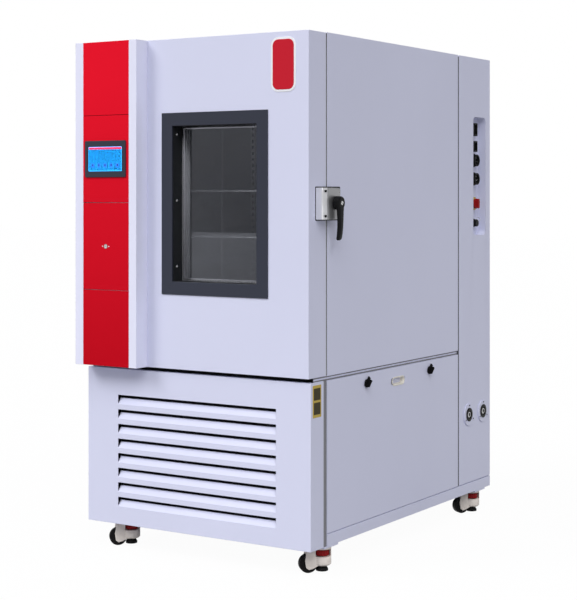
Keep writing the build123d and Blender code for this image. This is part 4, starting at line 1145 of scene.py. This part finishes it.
class CHAMBER_OT_latch(bpy.types.Operator):
    """Door latch: keeper, housing and the black lever"""

    bl_idname = "chamber.latch"
    bl_label = "Latch"

    def execute(self, context):
        dress("door_hardware", "keeper_metal", "door", 0.0012)
        dress("latch_body", "die_cast", "cabinet", 0.0012)
        dress("cabinet_hinge_leaves", "chrome", "cabinet", 0.0008)
        self.lever()
        self.fasteners()
        return {"FINISHED"}

    def lever(self):
        """Hub, spindle and the slightly curved arm."""
        low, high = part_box("latch_lever")
        hub_radius = (high.y - low.y) / 2
        pivot = Vector((high.x, low.y + hub_radius, high.z - hub_radius))
        hub = turned("hub", pivot, -RIGHT[2], [
            (0.004, 0.0), (hub_radius - 0.006, 0.0), (hub_radius - 0.0015, 0.003), (hub_radius, 0.009),
            (hub_radius, 0.0245), (hub_radius - 0.003, 0.026), (0.007, 0.026), (0.007, 0.049)])
        rings = []
        reach = pivot.z - low.z
        for share, wide, thick, lean, lift in LEVER_SECTIONS:
            place = pivot + Vector((-0.0085 - lift * 0.3, lean, -share * reach))
            outline = rounded_outline(2 * wide, thick, thick * 0.42)
            rings.append([place + Vector((v, u, 0)) for u, v in outline])
        builder = bmesh.new()
        loft(builder, rings)
        arm = link_mesh("arm", builder)
        lever = join("latch_lever_finish", [hub, arm])
        keep(lever, "black_plastic", "latch_lever", ["latch_lever"])
        pin = turned("lever_pin", pivot + Vector((-0.001, 0, 0)), RIGHT[2],
                     [(0.0075, 0.0), (0.0075, 0.0008), (0.006, 0.0018), (0.002, 0.0016)])
        keep(pin, "chrome", "latch_lever")

    def fasteners(self):
        """Screws and black gaskets of the keeper and the latch housing, and screws of the hinge leaves."""
        low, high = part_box("latch_body")
        strike_rear = low.y - 0.0015
        strike_front = strike_rear - 0.035
        middle = (strike_front + strike_rear) / 2
        face = low.x + 0.030
        points = [(face, middle, z) for z in (low.z + 0.012, high.z - 0.012)]
        screws("keeper_screws", points, RIGHT[2], "door", "black_plastic", radius=0.0045, hex_socket=True,
               seed=8)
        for name, body, front, rear in (("keeper_gasket", "door", strike_front, strike_rear),
                                        ("latch_gasket", "cabinet", low.y, high.y)):
            place = Vector((low.x, (front + rear) / 2, (low.z + high.z) / 2))
            plate(name, place, RIGHT, rear - front + 0.0026, high.z - low.z + 0.008, 0.004,
                  [(0, 0), (0, 0.0012), (0.0006, 0.0018)], "gap_black", body, "black_plastic")
        points = [(low.x + 0.004, high.y - 0.014, z) for z in (low.z + 0.016, high.z - 0.016)]
        screws("latch_plate_screws", points, RIGHT[2], "cabinet", "chrome", radius=0.0045, seed=9)
        low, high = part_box("cabinet_hinge_leaves")
        levels = levels_of("cabinet_hinge_leaves", 2)
        bottoms = [levels[0]] + [level for below, level in zip(levels, levels[1:]) if level - below > 0.2]
        points = [(low.x + 0.018, high.y - 0.012, level + rise)
                  for level in bottoms for rise in (0.012, 0.042)]
        screws("cabinet_hinge_screws", points, LEFT[2], "cabinet", "black_plastic", radius=0.0045, seed=10)


class CHAMBER_OT_side_hardware(bpy.types.Operator):
    """Wing latches, finger pull and the blank plate"""

    bl_idname = "chamber.side_hardware"
    bl_label = "Side hardware"

    def execute(self, context):
        for node in ("front_panel_latch", "rear_panel_latch"):
            dress(node, "gap_black", node, 0.0014)
        self.finger_pull()
        self.blank_plate()
        return {"FINISHED"}

    def finger_pull(self):
        """Ivory moulding that lines the recess of the access panel."""
        low, high = named(frame["record"]["physics"]["openings"], "finger_pull")["box_m"]
        side = corner("access_panel", 1).x
        place = Vector((side, (low[1] + high[1]) / 2, (low[2] + high[2]) / 2))
        width, height = high[1] - low[1] + 0.010, high[2] - low[2] + 0.010
        levels = [(0, 0.0), (0, 0.0012), (0.002, 0.002), (0.004, 0.0012), (0.0052, -0.002), (0.0062, -0.0135),
                  (0.009, -0.0145)]
        rings = plate_rings(place, RIGHT, width, height, height / 2 - 0.001, levels)
        builder = bmesh.new()
        loft(builder, rings, caps=False)
        builder.faces.new(list(builder.verts)[-len(rings[0]):])
        pull = link_mesh("finger_pull", builder, recalculate=False)
        smooth(pull.data, 40.0)
        keep(pull, "pull_moulding", "access_panel")

    def blank_plate(self):
        """Plain yellow plate on the corner strip of the front panel."""
        low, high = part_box("front_louvre_panel")
        from_edge, above_floor = 0.040, 0.620
        place = Vector((high.x, low.y + from_edge, above_floor))
        plate("blank_plate", place, RIGHT, 0.056, 0.113, 0.003, [(0, 0), (0, 0.0006), (0.0004, 0.0009)],
              "yellow_coat", "cabinet", "body_paint")
        for index, rise in enumerate((-0.025, 0.025)):
            plate("blank_plate_field_%d" % (index + 1), place + Vector((0.0009, 0, rise)), RIGHT, 0.044,
                  0.042, 0.002, [(0, 0), (0, 0.0003)], "dark_field", "cabinet", "black_plastic")


class CHAMBER_OT_service_side(bpy.types.Operator):
    """Socket pocket, isolator and water ports"""

    bl_idname = "chamber.service_side"
    bl_label = "Service side"

    def execute(self, context):
        dress("pocket_tray", "paint", "cabinet", 0.0012)
        dress("isolator_handle", "red_plastic", "isolator_handle", 0.0016)
        pocket = corner("pocket_tray", 0).z
        base = centre("isolator_handle").z

        def is_port(first, last):
            return last.z < pocket

        def is_base(first, last):
            return abs((first.z + last.z) / 2 - base) < 0.01

        def is_dot(first, last):
            return pocket < last.z and last.z - first.z < 0.015

        dress("service_ports", "paint", "cabinet", 0.0006, is_port, "water_ports")
        dress("service_ports", "yellow_coat", "cabinet", 0.0012, is_base, "isolator_plate")
        dress("service_ports", "blue_cap", "cabinet", 0.0006, is_dot, "signal_cap")
        dress("service_ports", "black_plastic", "cabinet", 0.0012,
              lambda first, last: not (is_port(first, last) or is_base(first, last) or is_dot(first, last)),
              "power_sockets")
        self.contacts()
        self.port_rings()
        return {"FINISHED"}

    def round_places(self, place, radius):
        """Three places spread round one on the right side, the first of them above it."""
        turns = [math.radians(turn) for turn in (90, 210, 330)]
        return [(place.x, place.y + radius * math.cos(turn), place.z + radius * math.sin(turn))
                for turn in turns]

    def contacts(self):
        """Contact pins inside the round sockets, and the wire loop of the capped connector."""
        points = []
        for name in ("round_socket_upper", "round_socket_lower"):
            face = Vector(named(frame["record"]["mounts"], name)["pos_m"])
            face.x = corner("pocket_tray", 0).x + 0.020
            points += self.round_places(face, 0.010)
        screws("socket_contacts", points, RIGHT[2], "cabinet", "chrome", radius=0.0022, hex_socket=True,
               seed=11)
        low = corner("pocket_tray", 0)
        place = Vector((low.x + 0.027, centre("pocket_tray").y + 0.012, low.z + 0.078))
        loop = wire_loop("cap_wire_loop", place, Vector((0.5, -0.3, 0.3)), 0.0085, 0.0009)
        keep(loop, "chrome", "cabinet")

    def port_rings(self):
        """Black collar, nozzle and three screws of each water port."""
        points = []
        for name in ("water_port_front", "water_port_rear"):
            place = Vector(named(frame["record"]["mounts"], name)["pos_m"])
            place.x = corner("service_ports", 1).x
            collar = turned(name + "_collar", place, RIGHT[2], [
                (0.0278, -0.002), (0.0278, 0.0006), (0.0265, 0.0012), (0.0175, 0.0012), (0.0166, 0.0),
                (0.0166, -0.008)])
            keep(collar, "black_plastic", "cabinet")
            nozzle = turned(name + "_nozzle", place, RIGHT[2], [
                (0.0115, -0.0078), (0.0115, -0.0012), (0.0105, -0.0006), (0.0085, -0.0006), (0.0085, -0.006)])
            keep(nozzle, "chrome", "cabinet")
            points += self.round_places(place, 0.0385)
        screws("port_screws", points, RIGHT[2], "cabinet", "black_plastic", radius=0.0032, seed=12)


class CHAMBER_OT_casters(bpy.types.Operator):
    """Levelling casters: castings, treaded wheels, thumbwheels and pads"""

    bl_idname = "chamber.casters"
    bl_label = "Casters"

    def execute(self, context):
        for place in CASTER_PLACES:
            dress("caster_housing_" + place, "casting_coat", "caster_" + place, 0.0014)
            dress("caster_wheel_" + place, "rubber", "wheel_" + place, 0)
            dress("thumbwheel_" + place, "red_plastic", "thumbwheel_" + place, 0.0006)
            dress("levelling_pad_" + place, "rubber", "pad_" + place, 0.001)
            self.tread(place)
        return {"FINISHED"}

    def tread(self, place):
        """Shallow ribs on the wheel's sides."""
        joint = named(frame["joints"], "wheel_" + place + "_spin")
        hub = Vector(joint["pos_m"])
        axis = Vector(joint["axis"]).normalized()
        turn = axis.to_track_quat("Z", "Y").to_matrix().to_4x4()
        for side, sign in (("inner", -1), ("outer", 1)):
            ribs = grow("wheel_ribs_%s_%s" % (side, place), ring_tree(), {
                "Count": sizes().tread_ribs // 2, "Ring Radius": 0.022, "Rib Size": (0.010, 0.0016, 0.0012),
                "Finish": finish("rubber")})
            ribs.data.transform(Matrix.Translation(hub + axis * sign * 0.0142) @ turn)
            keep(ribs, "rubber", "wheel_" + place)


class CHAMBER_OT_interior(bpy.types.Operator):
    """Working space: liner, shelves, uprights, baffle, coils and fans"""

    bl_idname = "chamber.interior"
    bl_label = "Interior"

    def execute(self, context):
        for node, material in (
                ("inner_liner", "liner_steel"), ("air_baffle", "liner_steel"), ("door_liner", "liner_steel"),
                ("shelf_uprights", "upright_steel"), ("upper_shelf", "wire_steel"),
                ("lower_shelf", "wire_steel"), ("door_gasket", "rubber"), ("air_coils", "copper"),
                ("circulation_fan", "fan_steel"), ("fan_motor", "motor_coat"), ("insulation", "foam"),
                ("door_insulation", "foam"), ("condenser_fan", "motor_coat"),
                ("refrigeration_unit", "motor_coat"), ("control_plate", "device_grey")):
            coat(node, material)
        self.upright_slots()
        self.wall_ribs()
        self.fan_guard()
        self.coil_fins()
        return {"FINISHED"}

    def upright_slots(self):
        """Dark bars up the shelf uprights: painted shade standing for their slots."""
        low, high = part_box("shelf_uprights")
        pitch = 0.025
        count = int((high.z - low.z) / pitch) - 1
        pieces = [grow("slots", stack_tree(), {
            "Count": count, "Start": (x, y, low.z + pitch), "Step": (0, 0, pitch),
            "Bar Size": (0.0004, 0.006, 0.012), "Finish": finish("dark_moulding")})
            for x in (low.x + 0.0031, high.x - 0.0031) for y in (low.y + 0.011, high.y - 0.011)]
        keep(join("upright_slots", pieces), "dark_moulding", "cabinet")

    def wall_ribs(self):
        """Low upright ribs on the side walls of the working space, in steel paler than the liner: a painted
        highlight.
        """
        low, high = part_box("shelf_uprights")
        for x, axes, side in ((low.x, RIGHT, "left"), (high.x, LEFT, "right")):
            for index, y in enumerate((-0.218, 0.0, 0.144)):
                plate("wall_rib_%s_%d" % (side, index + 1), Vector((x, y, (low.z + high.z) / 2)), axes, 0.010,
                      high.z - low.z - 0.02, 0.0005, [(0, 0), (0, 0.0008), (0.0006, 0.0012)], "rib_steel",
                      "cabinet", "stainless")

    def fan_guard(self):
        """Grille of crossed bars over the fan inlet."""
        middle = centre("circulation_fan")
        middle.y = corner("air_baffle", 0).y - 0.001
        radius, pitch, bar, deep = 0.104, 0.013, 0.0022, 0.0018
        builder = bmesh.new()
        for row in range(int(2 * radius / pitch) + 1):
            offset = -radius + row * pitch
            length = 2 * math.sqrt(max(radius ** 2 - offset ** 2, 1e-6))
            for shift, size in ((Vector((0, 0, offset)), (length, deep, bar, 1)),
                                (Vector((offset, -0.0012, 0)), (bar, deep, length, 1))):
                matrix = Matrix.Translation(middle + shift) @ Matrix.Diagonal(size)
                bmesh.ops.create_cube(builder, size=1.0, matrix=matrix)
        keep(link_mesh("fan_guard", builder), "wire_steel", "cabinet")

    def coil_fins(self):
        """Thin fins on the cooling coil."""
        low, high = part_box("air_coils")
        count, inset, above_floor = 90, 0.065, 1.110
        thick, deep, tall = 0.0006, 0.0605, 0.2815
        fins = grow("coil_fins", stack_tree(), {
            "Count": count, "Start": (low.x + inset, low.y + 0.030, above_floor),
            "Step": ((high.x - low.x - 2 * inset) / (count - 1), 0, 0), "Bar Size": (thick, deep, tall),
            "Finish": finish("fin_metal")})
        keep(fins, "fin_metal", "cabinet")


class CHAMBER_OT_stage(bpy.types.Operator):
    """Pale floor, soft studio light and the camera"""

    bl_idname = "chamber.stage"
    bl_label = "Stage"

    def execute(self, context):
        self.floor()
        self.world()
        self.lamps()
        self.camera()
        context.scene.view_settings.view_transform = "Standard"
        return {"FINISHED"}

    def floor(self):
        """A wide plain floor that shows white with a faint shadow."""
        reach = 40.0
        mesh = bpy.data.meshes.new("floor")
        mesh.from_pydata([(-reach, -reach, 0), (reach, -reach, 0), (reach, reach, 0), (-reach, reach, 0)],
                         [], [(0, 1, 2, 3)])
        floor = link_object("floor", mesh)
        material, tree, shader = new_material("floor_white")
        set_inputs(tree, shader, {"Base Color": (0.34, 0.34, 0.35, 1), "Roughness": 0.9,
                                  "Specular IOR Level": 0.0})
        glow = add_node(tree, "ShaderNodeEmission", {"Color": (1, 1, 1, 1), "Strength": 1.06})
        rays = tree.nodes.new("ShaderNodeLightPath")
        seen = combine(tree, "MAXIMUM", rays.outputs["Is Camera Ray"], rays.outputs["Is Glossy Ray"])
        seen = combine(tree, "MAXIMUM", seen, rays.outputs["Is Transmission Ray"])
        share = combine(tree, "MULTIPLY", seen, 0.91)
        mix = add_node(tree, "ShaderNodeMixShader", {0: share, 1: shader.outputs[0], 2: glow.outputs[0]})
        set_inputs(tree, tree.nodes["Material Output"], {"Surface": mix.outputs[0]})
        mesh.materials.append(material)

    def world(self):
        """White where it is seen straight or in a first reflection, softer as light."""
        world = bpy.data.worlds.new("studio")
        bpy.context.scene.world = world
        world.use_nodes = True
        tree = world.node_tree
        rays = tree.nodes.new("ShaderNodeLightPath")
        direct = combine(tree, "LESS_THAN", rays.outputs["Ray Depth"], 1.5)
        glossy = combine(tree, "MULTIPLY", rays.outputs["Is Glossy Ray"], direct)
        seen = combine(tree, "MAXIMUM", rays.outputs["Is Camera Ray"], glossy)
        set_inputs(tree, tree.nodes["Background"], {
            "Color": (1, 1, 1, 1), "Strength": map_range(tree, seen, 0.45, 1.0, 0.0, 1.0)})

    def lamps(self):
        """Two broad, soft lights from high in front, left and right."""
        for name, towards, strength, spread in (("key", (-0.45, -0.62, 0.62), 1.5, 28),
                                                ("fill", (0.5, -0.55, 0.68), 1.42, 45)):
            data = bpy.data.lights.new(name, "SUN")
            data.energy = strength
            data.angle = math.radians(spread)
            lamp = link_object(name, data)
            lamp.rotation_euler = Vector(towards).to_track_quat("Z", "Y").to_euler()

    def camera(self):
        """Camera at the photograph's place, level, with its view shifted down."""
        near_corner = Vector((corner("right_side_panel", 1).x, corner("front_louvre_panel", 0).y, 0))
        data = bpy.data.cameras.new("photo_camera")
        data.sensor_width = 36.0
        data.lens = 91.21
        data.shift_y = -0.1759
        data.clip_end = 200.0
        camera = link_object("photo_camera", data)
        camera.location = near_corner + Vector((2.776, -4.483, 1.3423))
        camera.rotation_euler = (math.radians(90), 0, math.radians(32.61))
        bpy.context.scene.camera = camera


STEPS = (CHAMBER_OT_panels, CHAMBER_OT_fascia, CHAMBER_OT_operating_panel, CHAMBER_OT_window,
         CHAMBER_OT_latch, CHAMBER_OT_side_hardware, CHAMBER_OT_service_side, CHAMBER_OT_casters,
         CHAMBER_OT_interior, CHAMBER_OT_stage)


class CHAMBER_PT_sidebar(bpy.types.Panel):
    """Lists the chamber's steps and settings"""

    bl_label = "Test Chamber"
    bl_idname = "CHAMBER_PT_sidebar"
    bl_space_type = "VIEW_3D"
    bl_region_type = "UI"
    bl_category = "Chamber"

    def draw(self, context):
        for step in STEPS:
            self.layout.operator(step.bl_idname)
        for group in (context.scene.chamber_sizes, context.scene.chamber_colours):
            for name in group.bl_rna.properties.keys():
                if name not in ("rna_type", "name"):
                    self.layout.prop(group, name)


CLASSES = (ChamberColours, ChamberSizes) + STEPS + (CHAMBER_PT_sidebar,)


def register():
    for item in CLASSES:
        bpy.utils.register_class(item)
    bpy.types.Scene.chamber_colours = PointerProperty(type=ChamberColours)
    bpy.types.Scene.chamber_sizes = PointerProperty(type=ChamberSizes)


def unregister():
    del bpy.types.Scene.chamber_sizes
    del bpy.types.Scene.chamber_colours
    for item in reversed(CLASSES):
        bpy.utils.unregister_class(item)


def main():
    """Dresses the chamber."""
    register()
    for step in STEPS:
        group, name = step.bl_idname.split(".")
        getattr(getattr(bpy.ops, group), name)()


if __name__ == "__main__":
    main()
